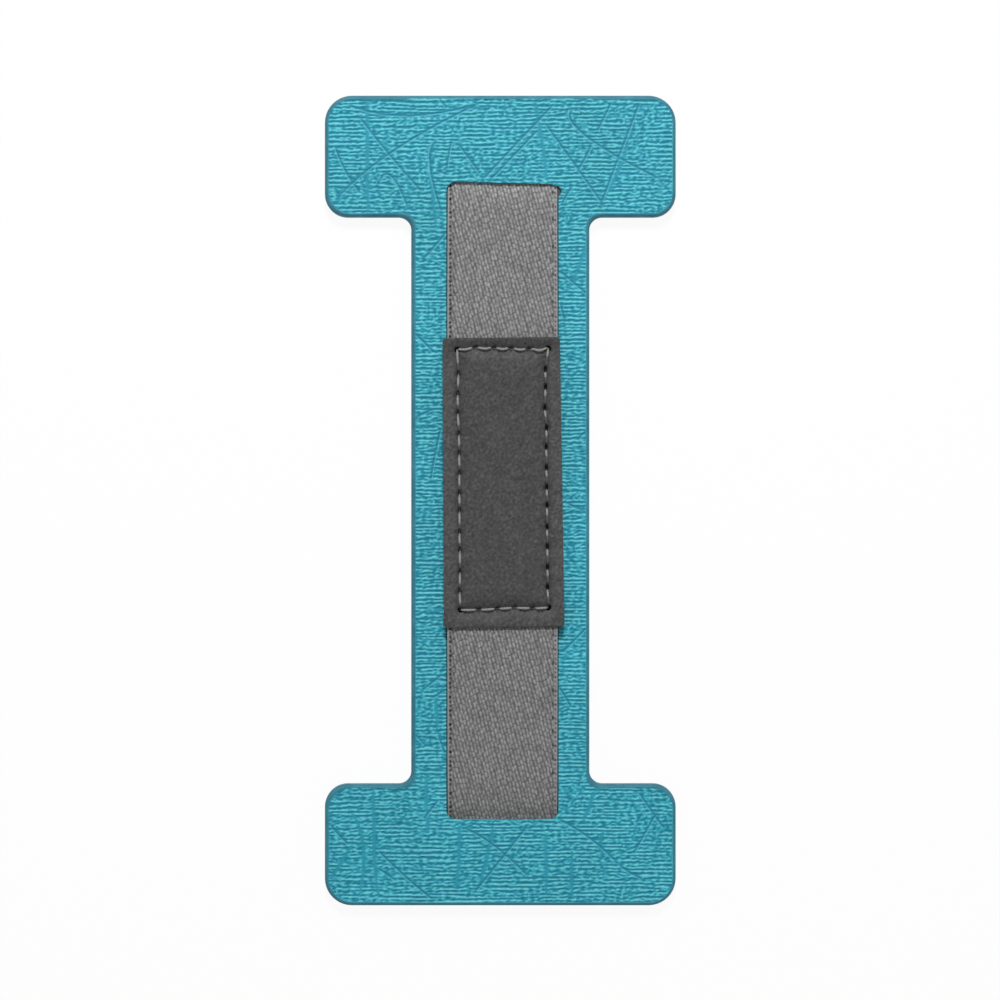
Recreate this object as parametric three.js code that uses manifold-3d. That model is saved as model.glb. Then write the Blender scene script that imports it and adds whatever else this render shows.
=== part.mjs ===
// Tablet hand strap: a flat I-shaped pad with an elastic band across a long window, and a sewn leather
// grip on the band. The pad sticks to the back of a tablet, and the fingers go under the band.
// Millimetres. +X is across the strap, +Y along it, +Z out of its front face. It lies on its back:
// the origin is under the middle of the pad, on the surface that it lies on.
import * as THREE from "three";
import { mergeVertices } from "three/addons/utils/BufferGeometryUtils.js";
import Module from "manifold-3d";

const wasm = await Module();
wasm.setup();

// Driving dimensions

// The I-shaped outline of the pad
const PANEL_LENGTH = 150;
const PANEL_WIDTH = 65;
const STEM_WIDTH = 33;
const BAR_HEIGHT = 22.5; // each cross bar, along Y
const END_CORNER_RADIUS = 5;
const SHOULDER_CORNER_RADIUS = 4.2;
const STEM_FILLET_RADIUS = 2.4;

// The layers of the pad, from the back to the front
const LINER_THICKNESS = 0.125;
const PAD_THICKNESS = 0.5;
const BACKING_THICKNESS = 0.5;
const SKIN_THICKNESS = 0.75;

// The front panel: a leather skin with its edge pressed down round the board
const RIM_WALL = 0.8;
const EDGE_ROUND = 0.8;
const BOARD_CLEARANCE = 0.3; // between the board's edge and the skin's rim
const BACKING_INSET = 0.4; // the backing stops short of the panel's outline

// The elastic band
const BAND_WIDTH = 20.4;
const BAND_THICKNESS = 1.25;
const BAND_END_MARGIN = 5; // from the end of each tail, under the skin, to the end of the pad
const BAND_BEND = 5; // length over which the band bends out of the pad, and flat again
const BAND_FLAT_MARGIN = 0.6; // the band is still flat this far past the grip

// The window in the front panel
const WINDOW_END_MARGIN = 16; // from each end of the window to the end of the pad
const WINDOW_CENTRE_X = 0.4; // it was punched a little to one side
const WINDOW_CORNER_RADIUS = 1.7;
const WINDOW_END_SKEW = 0.4; // its upper end was punched askew, lower on the right
const WINDOW_SIDE_CLEARANCE = 0.18;
const WINDOW_NICK_RADIUS = 1.05; // an overcut at its upper right corner
const WINDOW_NICK_DROP = 1.8; // how far that overcut's centre is below the window's end

// The slot in the board that takes the band's tails
const SLOT_SIDE_CLEARANCE = 0.12;
const SLOT_END_CLEARANCE = 0.5;
const SLOT_CORNER_RADIUS = 0.6;

// The grip: two leather pieces, one on each side of the band, sewn through it
const GRIP_LENGTH = 53.4;
const GRIP_SEAT = 0.72; // how far it reaches over the pad on each side of the window
const GRIP_THICKNESS = 0.75;
const GRIP_CORNER_RADIUS = 0.5;
const GRIP_CENTRE_Y = 3.3;
const GRIP_TILT = 0.7; // degrees, as it was sewn

// The seam round the grip
const SEAM_MARGIN = 2.8; // from the leather's edges
const SEAM_SHIFT_X = 0.2; // it was sewn a little off the leather's middle
const SEAM_SHIFT_Y = 0.7;
const STITCH_LENGTH = 3.6; // about, as each side takes a whole number of stitches
const THREAD_DIAMETER = 0.45;
const THREAD_LIFT = 0.03; // between the thread and the leather that it lies on
const THREAD_GAP = 0.1; // between the two threads, where their loops meet in a needle hole
const LEG_GAP = 0.27; // between the two legs of the thread in a needle hole
const HOLE_CLEARANCE = 0.06; // between a leg of the thread and the wall of its hole

// The adhesive pads and their release liners
const PAD_MARGIN = 2.5; // from the edges of the cross bar
const PAD_CORNER_RADIUS = 3;
const LINER_OVERHANG = 1;

// Limits and allowances of the modelling itself
const SMALLEST_CORNER = 0.2; // an inset outline's corners are no sharper than this
const CUT_PAST = 1; // a cutter runs this far past what it cuts
const MERGE_DISTANCE = 1e-4; // closer corners than this are one

// Smoothness of round stretches
const CORNER_STEPS = 4; // a curve takes twice as many steps in each quarter
const EDGE_STEPS = 3;
const BEND_STEPS = 4;
const THREAD_SIDES = 6;

// Heights of the layers

const PAD_BOTTOM = LINER_THICKNESS;
const BACKING_BOTTOM = PAD_BOTTOM + PAD_THICKNESS;
const BOARD_BOTTOM = BACKING_BOTTOM + BACKING_THICKNESS;
const BOARD_THICKNESS = BAND_THICKNESS; // the band's tails fill the board's slot
const SKIN_BOTTOM = BOARD_BOTTOM + BOARD_THICKNESS;
const PANEL_TOP = SKIN_BOTTOM + SKIN_THICKNESS;
const GRIP_BAND_BOTTOM = PANEL_TOP + GRIP_THICKNESS; // the rear leather lies on the front panel
const GRIP_BAND_TOP = GRIP_BAND_BOTTOM + BAND_THICKNESS;
const GRIP_TOP = GRIP_BAND_TOP + GRIP_THICKNESS;

// Sizes that follow from the others

const WINDOW_WIDTH = BAND_WIDTH + 2 * WINDOW_SIDE_CLEARANCE;
const WINDOW_LENGTH = PANEL_LENGTH - 2 * WINDOW_END_MARGIN;
const BAND_LENGTH = PANEL_LENGTH - 2 * BAND_END_MARGIN;
const BAR_CENTRE_Y = (PANEL_LENGTH - BAR_HEIGHT) / 2;
const BOARD_INSET = RIM_WALL + BOARD_CLEARANCE;
const GRIP_WIDTH = WINDOW_WIDTH + 2 * GRIP_SEAT;
const SEAM_LENGTH = GRIP_LENGTH - 2 * SEAM_MARGIN;
const SEAM_WIDTH = GRIP_WIDTH - 2 * SEAM_MARGIN;
const SIDE_STITCHES = Math.round(SEAM_LENGTH / STITCH_LENGTH);
const END_STITCHES = Math.round(SEAM_WIDTH / STITCH_LENGTH);
const THREAD_RADIUS = THREAD_DIAMETER / 2;
const LEG_SPREAD = THREAD_RADIUS + LEG_GAP / 2; // from a hole's centre to each leg

// Helpers

// A closed mesh as a solid that can be cut and joined
function solidOf(geometry) {
  const bare = geometry.clone();
  bare.deleteAttribute("normal");
  bare.deleteAttribute("uv");
  const merged = mergeVertices(bare, MERGE_DISTANCE);
  return new wasm.Manifold(
    new wasm.Mesh({
      numProp: 3,
      vertProperties: new Float32Array(merged.attributes.position.array),
      triVerts: new Uint32Array(merged.index.array),
    }),
  );
}

function geometryOf(solid) {
  const mesh = solid.getMesh();
  const geometry = new THREE.BufferGeometry();
  geometry.setAttribute("position", new THREE.BufferAttribute(mesh.vertProperties, 3));
  geometry.setIndex(new THREE.BufferAttribute(mesh.triVerts, 1));
  geometry.computeVertexNormals();
  return geometry;
}

// A flat shape as a plate from one height to another
function plate(shape, bottom, top) {
  const geometry = new THREE.ExtrudeGeometry(shape, {
    depth: top - bottom,
    bevelEnabled: false,
    curveSegments: CORNER_STEPS,
  });
  return geometry.translate(0, 0, bottom);
}

// The upper right corner is lowered by the skew
function roundedRectangle(width, height, radius, centreX = 0, centreY = 0, skew = 0) {
  const right = centreX + width / 2;
  const left = centreX - width / 2;
  const top = centreY + height / 2;
  const bottom = centreY - height / 2;
  const quarter = Math.PI / 2;
  const shape = new THREE.Shape();
  shape.moveTo(left + radius, bottom);
  shape.absarc(right - radius, bottom + radius, radius, -quarter, 0, false);
  shape.absarc(right - radius, top - skew - radius, radius, 0, quarter, false);
  shape.absarc(left + radius, top - radius, radius, quarter, 2 * quarter, false);
  shape.absarc(left + radius, bottom + radius, radius, 2 * quarter, 3 * quarter, false);
  return shape;
}

// The pad's outline, moved in all round by an inset
function panelOutline(inset) {
  const halfWidth = PANEL_WIDTH / 2 - inset;
  const halfLength = PANEL_LENGTH / 2 - inset;
  const halfStem = STEM_WIDTH / 2 - inset;
  const shoulder = PANEL_LENGTH / 2 - BAR_HEIGHT + inset;
  const corner = Math.max(END_CORNER_RADIUS - inset, SMALLEST_CORNER);
  const shoulderCorner = Math.max(SHOULDER_CORNER_RADIUS - inset, SMALLEST_CORNER);
  const fillet = STEM_FILLET_RADIUS + inset;
  const quarter = Math.PI / 2;
  const shape = new THREE.Shape();
  const arc = (x, y, radius, from, to) =>
    shape.absarc(x, y, radius, from * quarter, to * quarter, to < from);

  // Counter-clockwise from the lower edge of the lower bar
  shape.moveTo(-halfWidth + corner, -halfLength);
  arc(halfWidth - corner, -halfLength + corner, corner, -1, 0);
  arc(halfWidth - shoulderCorner, -shoulder - shoulderCorner, shoulderCorner, 0, 1);
  arc(halfStem + fillet, -shoulder + fillet, fillet, 3, 2);
  arc(halfStem + fillet, shoulder - fillet, fillet, 2, 1);
  arc(halfWidth - shoulderCorner, shoulder + shoulderCorner, shoulderCorner, -1, 0);
  arc(halfWidth - corner, halfLength - corner, corner, 0, 1);
  arc(-halfWidth + corner, halfLength - corner, corner, 1, 2);
  arc(-halfWidth + shoulderCorner, shoulder + shoulderCorner, shoulderCorner, 2, 3);
  arc(-halfStem - fillet, shoulder - fillet, fillet, 1, 0);
  arc(-halfStem - fillet, -shoulder + fillet, fillet, 0, -1);
  arc(-halfWidth + shoulderCorner, -shoulder - shoulderCorner, shoulderCorner, 1, 2);
  arc(-halfWidth + corner, -halfLength + corner, corner, 2, 3);
  return shape;
}

// Front panel: the embossed leather skin

// The outer form, with its front edge rounded. It is extruded with both edges rounded, and the lower
// one is left below the rim to be cut away.
function roundedPanel() {
  const geometry = new THREE.ExtrudeGeometry(panelOutline(0), {
    depth: PANEL_TOP - BOARD_BOTTOM,
    bevelEnabled: true,
    bevelThickness: EDGE_ROUND,
    bevelSize: EDGE_ROUND,
    bevelOffset: -EDGE_ROUND,
    bevelSegments: EDGE_STEPS,
    curveSegments: CORNER_STEPS,
  });
  return geometry.translate(0, 0, BOARD_BOTTOM - EDGE_ROUND);
}

function windowCutter() {
  const above = PANEL_TOP + CUT_PAST;
  const below = SKIN_BOTTOM - CUT_PAST;
  const opening = roundedRectangle(
    WINDOW_WIDTH, WINDOW_LENGTH, WINDOW_CORNER_RADIUS, WINDOW_CENTRE_X, 0, WINDOW_END_SKEW,
  );
  const nick = new THREE.Shape();
  nick.absarc(
    WINDOW_CENTRE_X + WINDOW_WIDTH / 2 - WINDOW_NICK_RADIUS / 2,
    WINDOW_LENGTH / 2 - WINDOW_NICK_DROP,
    WINDOW_NICK_RADIUS, 0, 2 * Math.PI,
  );
  return solidOf(plate(opening, below, above)).add(solidOf(plate(nick, below, above)));
}

function frontPanel() {
  const underneath = BOARD_BOTTOM - 2 * EDGE_ROUND - CUT_PAST;
  const belowRim = plate(panelOutline(-CUT_PAST), underneath, BOARD_BOTTOM);
  const boardSpace = plate(panelOutline(RIM_WALL), BOARD_BOTTOM - CUT_PAST, SKIN_BOTTOM);
  return geometryOf(
    solidOf(roundedPanel())
      .subtract(solidOf(belowRim))
      .subtract(solidOf(boardSpace))
      .subtract(windowCutter()),
  );
}

// Core board: stiffens the pad, and its slot takes the band's tails
function coreBoard() {
  const slotWidth = BAND_WIDTH + 2 * SLOT_SIDE_CLEARANCE;
  const slotLength = BAND_LENGTH + 2 * SLOT_END_CLEARANCE;
  const shape = panelOutline(BOARD_INSET);
  shape.holes.push(
    roundedRectangle(slotWidth, slotLength, SLOT_CORNER_RADIUS, WINDOW_CENTRE_X),
  );
  return plate(shape, BOARD_BOTTOM, SKIN_BOTTOM);
}

// Backing sheet: closes the back, and lines the window behind the band
function backingSheet() {
  return plate(panelOutline(BACKING_INSET), BACKING_BOTTOM, BOARD_BOTTOM);
}

// Adhesive pad and its release liner, one of each on each cross bar
function barSheet(side, grow, bottom, top) {
  const width = PANEL_WIDTH - 2 * (PAD_MARGIN - grow);
  const height = BAR_HEIGHT - 2 * (PAD_MARGIN - grow);
  return plate(
    roundedRectangle(width, height, PAD_CORNER_RADIUS + grow, 0, side * BAR_CENTRE_Y),
    bottom, top,
  );
}

// Elastic band

// How far the band has risen, from 0 to 1, along a slope with an even bend at each end
function risen(along, bend) {
  const share = THREE.MathUtils.clamp(along, 0, 1);
  const gain = 2 * bend * (1 - bend);
  if (share < bend) return (share * share) / gain;
  if (share > 1 - bend) return 1 - (1 - share) ** 2 / gain;
  return (share - bend / 2) / (1 - bend);
}

// The band's underside from one tail to the other, as points of (y, z)
function bandUnderside() {
  const gripReach = GRIP_LENGTH / 2 + BAND_FLAT_MARGIN;
  const start = WINDOW_LENGTH / 2 - WINDOW_END_SKEW - WINDOW_SIDE_CLEARANCE;
  const rise = GRIP_BAND_BOTTOM - BOARD_BOTTOM;
  const slope = (side) => {
    const flatEnd = side * GRIP_CENTRE_Y + gripReach;
    const run = start - flatEnd;
    const bend = BAND_BEND / run;
    const shares = [];
    for (let i = 0; i <= BEND_STEPS; i++) shares.push((bend * i) / BEND_STEPS);
    for (let i = 0; i <= BEND_STEPS; i++) shares.push(1 - bend + (bend * i) / BEND_STEPS);
    return shares.map((share) => [
      side * (start - share * run),
      BOARD_BOTTOM + rise * risen(share, bend),
    ]);
  };
  const tail = BAND_LENGTH / 2;
  return [[-tail, BOARD_BOTTOM], ...slope(-1), ...slope(1).reverse(), [tail, BOARD_BOTTOM]];
}

// The side profile drawn in (y, z), extruded across the band, and stood so that it runs along Y
function bandStrip() {
  const underside = bandUnderside();
  const profile = new THREE.Shape();
  underside.forEach(([y, z], i) => (i ? profile.lineTo(y, z) : profile.moveTo(y, z)));
  underside.reverse().forEach(([y, z]) => profile.lineTo(y, z + BAND_THICKNESS));
  const geometry = new THREE.ExtrudeGeometry(profile, { depth: BAND_WIDTH, bevelEnabled: false });
  const standUp = new THREE.Matrix4().makeBasis(
    new THREE.Vector3(0, 1, 0),
    new THREE.Vector3(0, 0, 1),
    new THREE.Vector3(1, 0, 0),
  );
  return geometry.applyMatrix4(standUp).translate(WINDOW_CENTRE_X - BAND_WIDTH / 2, 0, 0);
}

// The seam, in the grip's own frame

// Every needle hole in sewing order, with the way that the thread comes in and goes out
function needleHoles() {
  const x = SEAM_WIDTH / 2;
  const y = SEAM_LENGTH / 2;
  const corners = [
    new THREE.Vector2(-x, y),
    new THREE.Vector2(x, y),
    new THREE.Vector2(x, -y),
    new THREE.Vector2(-x, -y),
  ];
  const holes = [];
  corners.forEach((corner, i) => {
    const next = corners[(i + 1) % 4];
    const before = corners[(i + 3) % 4];
    const way = next.clone().sub(corner).normalize();
    const wayIn = corner.clone().sub(before).normalize();
    const stitches = i % 2 ? SIDE_STITCHES : END_STITCHES;
    for (let n = 0; n < stitches; n++) {
      holes.push({
        at: corner.clone().lerp(next, n / stitches),
        wayIn: n ? way : wayIn,
        wayOut: way,
        corner: n === 0,
      });
    }
  });
  return holes.map((hole) => {
    hole.at.add(new THREE.Vector2(SEAM_SHIFT_X, SEAM_SHIFT_Y));
    return hole;
  });
}

// A needle hole: a slit along the seam with ends pointed at 45 degrees, or at a corner, where the
// thread turns, an eight-sided hole. Its walls clear the two legs of the thread.
function holeShape(hole) {
  const half = THREAD_RADIUS + HOLE_CLEARANCE;
  const reach = LEG_SPREAD + half * Math.SQRT2;
  const shoulder = reach - half;
  const points = [];
  if (hole.corner) {
    for (let i = 0; i < 8; i++) {
      const angle = ((i + 0.5) * Math.PI) / 4;
      points.push([reach * Math.cos(angle), reach * Math.sin(angle)]);
    }
  } else {
    points.push([reach, 0], [shoulder, half], [-shoulder, half]);
    points.push([-reach, 0], [-shoulder, -half], [shoulder, -half]);
  }
  const { x, y } = hole.wayOut;
  const shape = new THREE.Shape();
  points.forEach(([along, across], i) => {
    const px = hole.at.x + along * x - across * y;
    const py = hole.at.y + along * y + across * x;
    if (i) shape.lineTo(px, py);
    else shape.moveTo(px, py);
  });
  return shape;
}

function punch(solid, bottom, top) {
  return needleHoles().reduce(
    (left, hole) =>
      left.subtract(solidOf(plate(holeShape(hole), bottom - CUT_PAST, top + CUT_PAST))),
    solid,
  );
}

// Places something made in the grip's frame where the grip is on the strap
function gripPlace() {
  return new THREE.Matrix4()
    .makeRotationZ(THREE.MathUtils.degToRad(GRIP_TILT))
    .setPosition(WINDOW_CENTRE_X, GRIP_CENTRE_Y, 0);
}

function gripLeather(bottom) {
  const shape = roundedRectangle(GRIP_WIDTH, GRIP_LENGTH, GRIP_CORNER_RADIUS);
  const leather = solidOf(plate(shape, bottom, bottom + GRIP_THICKNESS));
  return geometryOf(punch(leather, bottom, bottom + GRIP_THICKNESS));
}

function elasticBand() {
  const fromGrip = gripPlace();
  const toGrip = fromGrip.clone().invert();
  const strip = solidOf(bandStrip().applyMatrix4(toGrip));
  const sewn = geometryOf(punch(strip, GRIP_BAND_BOTTOM, GRIP_BAND_TOP));
  return sewn.applyMatrix4(fromGrip);
}

// One thread of the seam: it lies on the leather between needle holes, and turns back down each hole
// in a U whose foot meets the other thread's. A face of 1 sews the front, and -1 the back.
function seamThread(face) {
  const middle = (GRIP_BAND_BOTTOM + GRIP_BAND_TOP) / 2;
  const surface = face > 0 ? GRIP_TOP : PANEL_TOP;
  const lying = surface + face * (THREAD_RADIUS + THREAD_LIFT);
  const foot = middle + face * (THREAD_RADIUS + THREAD_GAP / 2);
  const knee = foot + face * THREAD_RADIUS;
  const crown = lying + (face * THREAD_RADIUS) / 4;
  const holes = needleHoles();
  const steps = [];
  const add = (at, way, height, lean) => steps.push({ at, way, height, lean });
  const out = (hole) => hole.at.clone().addScaledVector(hole.wayOut, LEG_SPREAD);
  const inward = (hole) => hole.at.clone().addScaledVector(hole.wayIn, -LEG_SPREAD);

  holes.forEach((hole, i) => {
    const next = holes[(i + 1) % holes.length];
    const last = i === holes.length - 1;
    // Up out of this hole, over the leather, and down into the next
    if (i === 0) add(out(hole), hole.wayOut, knee, 1);
    add(out(hole), hole.wayOut, lying, 0.5);
    add(hole.at.clone().lerp(next.at, 0.5), hole.wayOut, crown, 0);
    add(inward(next), hole.wayOut, lying, -0.5);
    add(inward(next), hole.wayOut, knee, -1);
    if (last) return;
    const turn = next.wayIn.clone().add(next.wayOut).normalize();
    add(next.at, turn, foot, 0);
    add(out(next), next.wayOut, knee, 1);
  });
  return sweep(steps, face);
}

// A thread through a list of steps. Each gives its place, its way in plan, its height, and its lean:
// 1 climbs towards the face, -1 goes down, and 0 is level.
function sweep(steps, face) {
  const positions = [];
  const indices = [];
  steps.forEach(({ at, way, height, lean }) => {
    const angle = (lean * Math.PI) / 2;
    const across = new THREE.Vector3(-way.y, way.x, 0);
    // Square to the thread in the upright plane that it runs in
    const upward = new THREE.Vector3(
      -way.x * Math.sin(angle), -way.y * Math.sin(angle), face * Math.cos(angle),
    );
    for (let i = 0; i < THREAD_SIDES; i++) {
      const turn = (2 * Math.PI * (i + 0.5)) / THREAD_SIDES;
      const point = new THREE.Vector3(at.x, at.y, height)
        .addScaledVector(across, THREAD_RADIUS * Math.cos(turn))
        .addScaledVector(upward, THREAD_RADIUS * Math.sin(turn));
      positions.push(point.x, point.y, point.z);
    }
  });
  const corner = (step, side) => step * THREAD_SIDES + (side % THREAD_SIDES);
  const triangle = (a, b, c) => indices.push(...(face > 0 ? [a, b, c] : [a, c, b]));
  for (let step = 0; step < steps.length - 1; step++) {
    for (let side = 0; side < THREAD_SIDES; side++) {
      const a = corner(step, side);
      const b = corner(step, side + 1);
      const c = corner(step + 1, side + 1);
      const d = corner(step + 1, side);
      triangle(a, b, c);
      triangle(a, c, d);
    }
  }
  const end = steps.length - 1;
  for (let side = 1; side < THREAD_SIDES - 1; side++) {
    triangle(corner(0, 0), corner(0, side + 1), corner(0, side));
    triangle(corner(end, 0), corner(end, side), corner(end, side + 1));
  }
  const geometry = new THREE.BufferGeometry();
  geometry.setAttribute("position", new THREE.Float32BufferAttribute(positions, 3));
  geometry.setIndex(indices);
  geometry.computeVertexNormals();
  return geometry;
}

// Materials

const finish = (color, roughness) => new THREE.MeshStandardMaterial({ color, roughness, metalness: 0 });
const embossedLeather = finish(0x439eb0, 0.5);
const darkLining = finish(0x2b2d30, 0.85);
const greyBoard = finish(0x8d8578, 0.9);
const greyElastic = finish(0x848484, 0.85);
const gripSuede = finish(0x4c4c4c, 0.9);
const paleThread = finish(0x9a9a98, 0.6);
const adhesiveFoam = finish(0xd9d9d2, 0.55);
const linerPaper = finish(0xe9e4d3, 0.4);

// Assembly

const strap = new THREE.Group();

function addPiece(name, geometry, material, group = strap) {
  const mesh = new THREE.Mesh(geometry, material);
  mesh.name = name;
  group.add(mesh);
}

addPiece("front_panel", frontPanel(), embossedLeather);
addPiece("core_board", coreBoard(), greyBoard);
addPiece("backing_sheet", backingSheet(), darkLining);
addPiece("elastic_band", elasticBand(), greyElastic);

for (const [name, side] of [["upper", 1], ["lower", -1]]) {
  const pad = barSheet(side, 0, PAD_BOTTOM, BACKING_BOTTOM);
  const liner = barSheet(side, LINER_OVERHANG, 0, PAD_BOTTOM);
  addPiece(`adhesive_pad_${name}`, pad, adhesiveFoam);
  addPiece(`release_liner_${name}`, liner, linerPaper);
}

const grip = new THREE.Group();
grip.applyMatrix4(gripPlace());
strap.add(grip);
addPiece("grip_front_leather", gripLeather(GRIP_BAND_TOP), gripSuede, grip);
addPiece("grip_rear_leather", gripLeather(PANEL_TOP), gripSuede, grip);
addPiece("front_seam_thread", seamThread(1), paleThread, grip);
addPiece("rear_seam_thread", seamThread(-1), paleThread, grip);

export default strap;
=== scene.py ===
# %% [markdown]
# Tablet hand strap.
# A flat I-shaped pad of embossed leather sticks to the back of a tablet. An elastic band runs
# along a window in it, and a stitched leather grip sits on the band, where the fingers hold it.
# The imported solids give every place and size. This lesson adds what the eye looks for: the embossed
# relief, the woven band, the soft grip and its sewing thread.

# %% Load the solids
import math

import bmesh
import bpy
import numpy as np
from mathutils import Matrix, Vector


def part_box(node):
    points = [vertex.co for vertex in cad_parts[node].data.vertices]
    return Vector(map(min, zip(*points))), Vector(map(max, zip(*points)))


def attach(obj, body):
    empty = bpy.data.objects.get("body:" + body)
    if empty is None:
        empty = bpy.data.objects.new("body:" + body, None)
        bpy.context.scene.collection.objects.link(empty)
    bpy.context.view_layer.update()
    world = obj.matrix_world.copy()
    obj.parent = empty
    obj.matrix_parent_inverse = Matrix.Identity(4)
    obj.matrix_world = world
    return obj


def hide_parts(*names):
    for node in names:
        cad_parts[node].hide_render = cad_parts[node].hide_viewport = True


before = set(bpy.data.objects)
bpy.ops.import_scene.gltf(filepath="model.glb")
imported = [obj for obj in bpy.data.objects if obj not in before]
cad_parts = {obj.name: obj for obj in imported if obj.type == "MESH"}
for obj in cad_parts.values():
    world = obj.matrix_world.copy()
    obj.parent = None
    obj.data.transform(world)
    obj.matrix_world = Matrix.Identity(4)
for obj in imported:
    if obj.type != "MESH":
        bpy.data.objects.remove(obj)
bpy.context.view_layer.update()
print("Solids:", sorted(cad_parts))

# %% [markdown]
# All sizes are metres. The heights and places come from the solids' boxes. The few sizes that a box
# can't give, such as the stem's width and the corner radii, are named here.

# %% Sizes
MM = 0.001

panel_low, panel_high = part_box("front_panel")
board_low, board_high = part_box("core_board")
band_low, band_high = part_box("elastic_band")
grip_low, grip_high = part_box("grip_front_leather")
rear_low, rear_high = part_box("grip_rear_leather")

PANEL_WIDTH = panel_high.x - panel_low.x
PANEL_LENGTH = panel_high.y - panel_low.y
PANEL_TOP = panel_high.z
PANEL_BOTTOM = panel_low.z
SKIN_BOTTOM = board_high.z
BAND_WIDTH = band_high.x - band_low.x
BAND_CENTRE_X = (band_high.x + band_low.x) / 2
BAND_THICKNESS = grip_low.z - rear_high.z

STEM_WIDTH = 33 * MM
BAR_HEIGHT = 22.5 * MM
END_CORNER_RADIUS = 5 * MM
SHOULDER_CORNER_RADIUS = 4.2 * MM
STEM_FILLET_RADIUS = 2.4 * MM
EDGE_ROUND = 0.8 * MM
RIM_WALL = 0.8 * MM
WINDOW_LENGTH = PANEL_LENGTH - 32 * MM
WINDOW_WIDTH = BAND_WIDTH + 0.36 * MM
WINDOW_SKEW = 0.4 * MM  # its upper end was punched askew, lower on the right
WINDOW_CORNER_RADIUS = 1.7 * MM
NICK_RADIUS = 1.05 * MM
NICK_DROP = 1.8 * MM
TOOL_DEPTH = 4 * MM  # more than anything here is thick
print("Pad:", round(PANEL_WIDTH / MM, 2), "by", round(PANEL_LENGTH / MM, 2), "mm")

# %% [markdown]
# The photograph looks straight down on the strap, so the camera does too. A long lens from half a
# metre away shows just a little of the window's walls, as the photograph does.

# %% Camera
FRAME_WIDTH = 185 * MM  # what the picture's full width takes in, at the pad's top
LENS = 100
SENSOR = 36
VIEW_CENTRE = (-0.05 * MM, 0.09 * MM)

camera_data = bpy.data.cameras.new("camera")
camera_data.lens = LENS
camera_data.sensor_width = SENSOR
camera_data.clip_start = 0.01
camera = bpy.data.objects.new("camera", camera_data)
camera.location = (*VIEW_CENTRE, PANEL_TOP + FRAME_WIDTH * LENS / SENSOR)
bpy.context.scene.collection.objects.link(camera)
bpy.context.scene.camera = camera
bpy.context.scene.view_settings.view_transform = "Standard"
print("Camera height:", round(camera.location.z, 4), "m")

# %% [markdown]
# Small helpers. Each operator acts on what is selected, so a piece is always picked alone first,
# and in edit mode its faces or edges are picked in code by their place.

# %% Helpers for picking


def pick(piece):
    bpy.ops.object.select_all(action="DESELECT")
    piece.select_set(True)
    bpy.context.view_layer.objects.active = piece


def edit(piece):
    pick(piece)
    bpy.ops.object.mode_set(mode="EDIT")
    bpy.ops.mesh.select_all(action="DESELECT")


def leave_edit():
    bpy.ops.object.mode_set(mode="OBJECT")


def choose(piece, kind, wanted):
    """In edit mode, selects only the vertices, edges or faces that the test wants."""
    bpy.ops.mesh.select_mode(type=kind)
    bpy.ops.mesh.select_all(action="DESELECT")
    shape = bmesh.from_edit_mesh(piece.data)
    items = {"VERT": shape.verts, "EDGE": shape.edges, "FACE": shape.faces}[kind]
    chosen = [item for item in items if wanted(item)]
    for item in chosen:
        item.select_set(True)
    bmesh.update_edit_mesh(piece.data)
    return len(chosen)


# %% [markdown]
# A piece gets its place and size as an object at first, and then they are applied to its mesh, so
# that every finished piece sits at the origin, as the solids do. Modifiers are applied as soon as
# they are set. Cuts use tools that are removed afterwards.

# %% Helpers for whole pieces


def fix_place(piece):
    pick(piece)
    bpy.ops.object.transform_apply(location=True, rotation=True, scale=True)


def apply_all(piece):
    pick(piece)
    for modifier in list(piece.modifiers):
        bpy.ops.object.modifier_apply(modifier=modifier.name)


def cut(piece, tool, operation="DIFFERENCE"):
    """Cuts a piece with a tool, or keeps only what is inside the tool, and removes the tool."""
    boolean = piece.modifiers.new("cut", "BOOLEAN")
    boolean.operation = operation
    boolean.solver = "MANIFOLD"
    boolean.object = tool
    apply_all(piece)
    bpy.data.objects.remove(tool)


# %% [markdown]
# Relief moves thousands of vertices at once, so they are read and written as one array. What the
# materials need to know about a place is kept as an attribute with a value for each vertex.

# %% Helpers for vertices


def places(piece):
    """Every vertex of a piece, as rows of x, y and z."""
    flat = np.empty(len(piece.data.vertices) * 3, np.float32)
    piece.data.vertices.foreach_get("co", flat)
    return flat.reshape(-1, 3).astype(float)


def put(piece, points):
    piece.data.vertices.foreach_set("co", points.astype(np.float32).ravel())
    piece.data.update()


def write_attribute(piece, name, values):
    layer = piece.data.attributes.new(name, "FLOAT", "POINT")
    layer.data.foreach_set("value", values.astype(np.float32))


def smooth(piece, degrees):
    pick(piece)
    bpy.ops.object.shade_smooth_by_angle(angle=math.radians(degrees))


def report(piece):
    triangles = sum(len(face.vertices) - 2 for face in piece.data.polygons)
    print(f"{piece.name}: {triangles} triangles")


# %% [markdown]
# Relief is worked out as a height at each vertex. The patterns are made of filtered noise: random
# values on a lattice, of which only the waves of a chosen length and direction are kept. Waves that
# are short across and long along give grain lines that wander, fork and end, as a press plate's do.

# %% Helpers for relief


def ramp(low, high, value):
    share = np.clip((value - low) / (high - low), 0, 1)
    return share * share * (3 - 2 * share)


def filtered_noise(seed, counts, steps, keep):
    """Noise on a lattice of counts = (columns, rows) and steps in mm. keep gives each wave's share
    for its waves per mm across and along."""
    across = np.fft.rfftfreq(counts[0], steps[0])
    along = np.fft.fftfreq(counts[1], steps[1])
    white = np.random.default_rng(seed).standard_normal((counts[1], counts[0]))
    waves = np.fft.rfft2(white) * keep(across[None, :], along[:, None])
    noise = np.fft.irfft2(waves, s=(counts[1], counts[0]))
    return noise / noise.std()


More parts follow.
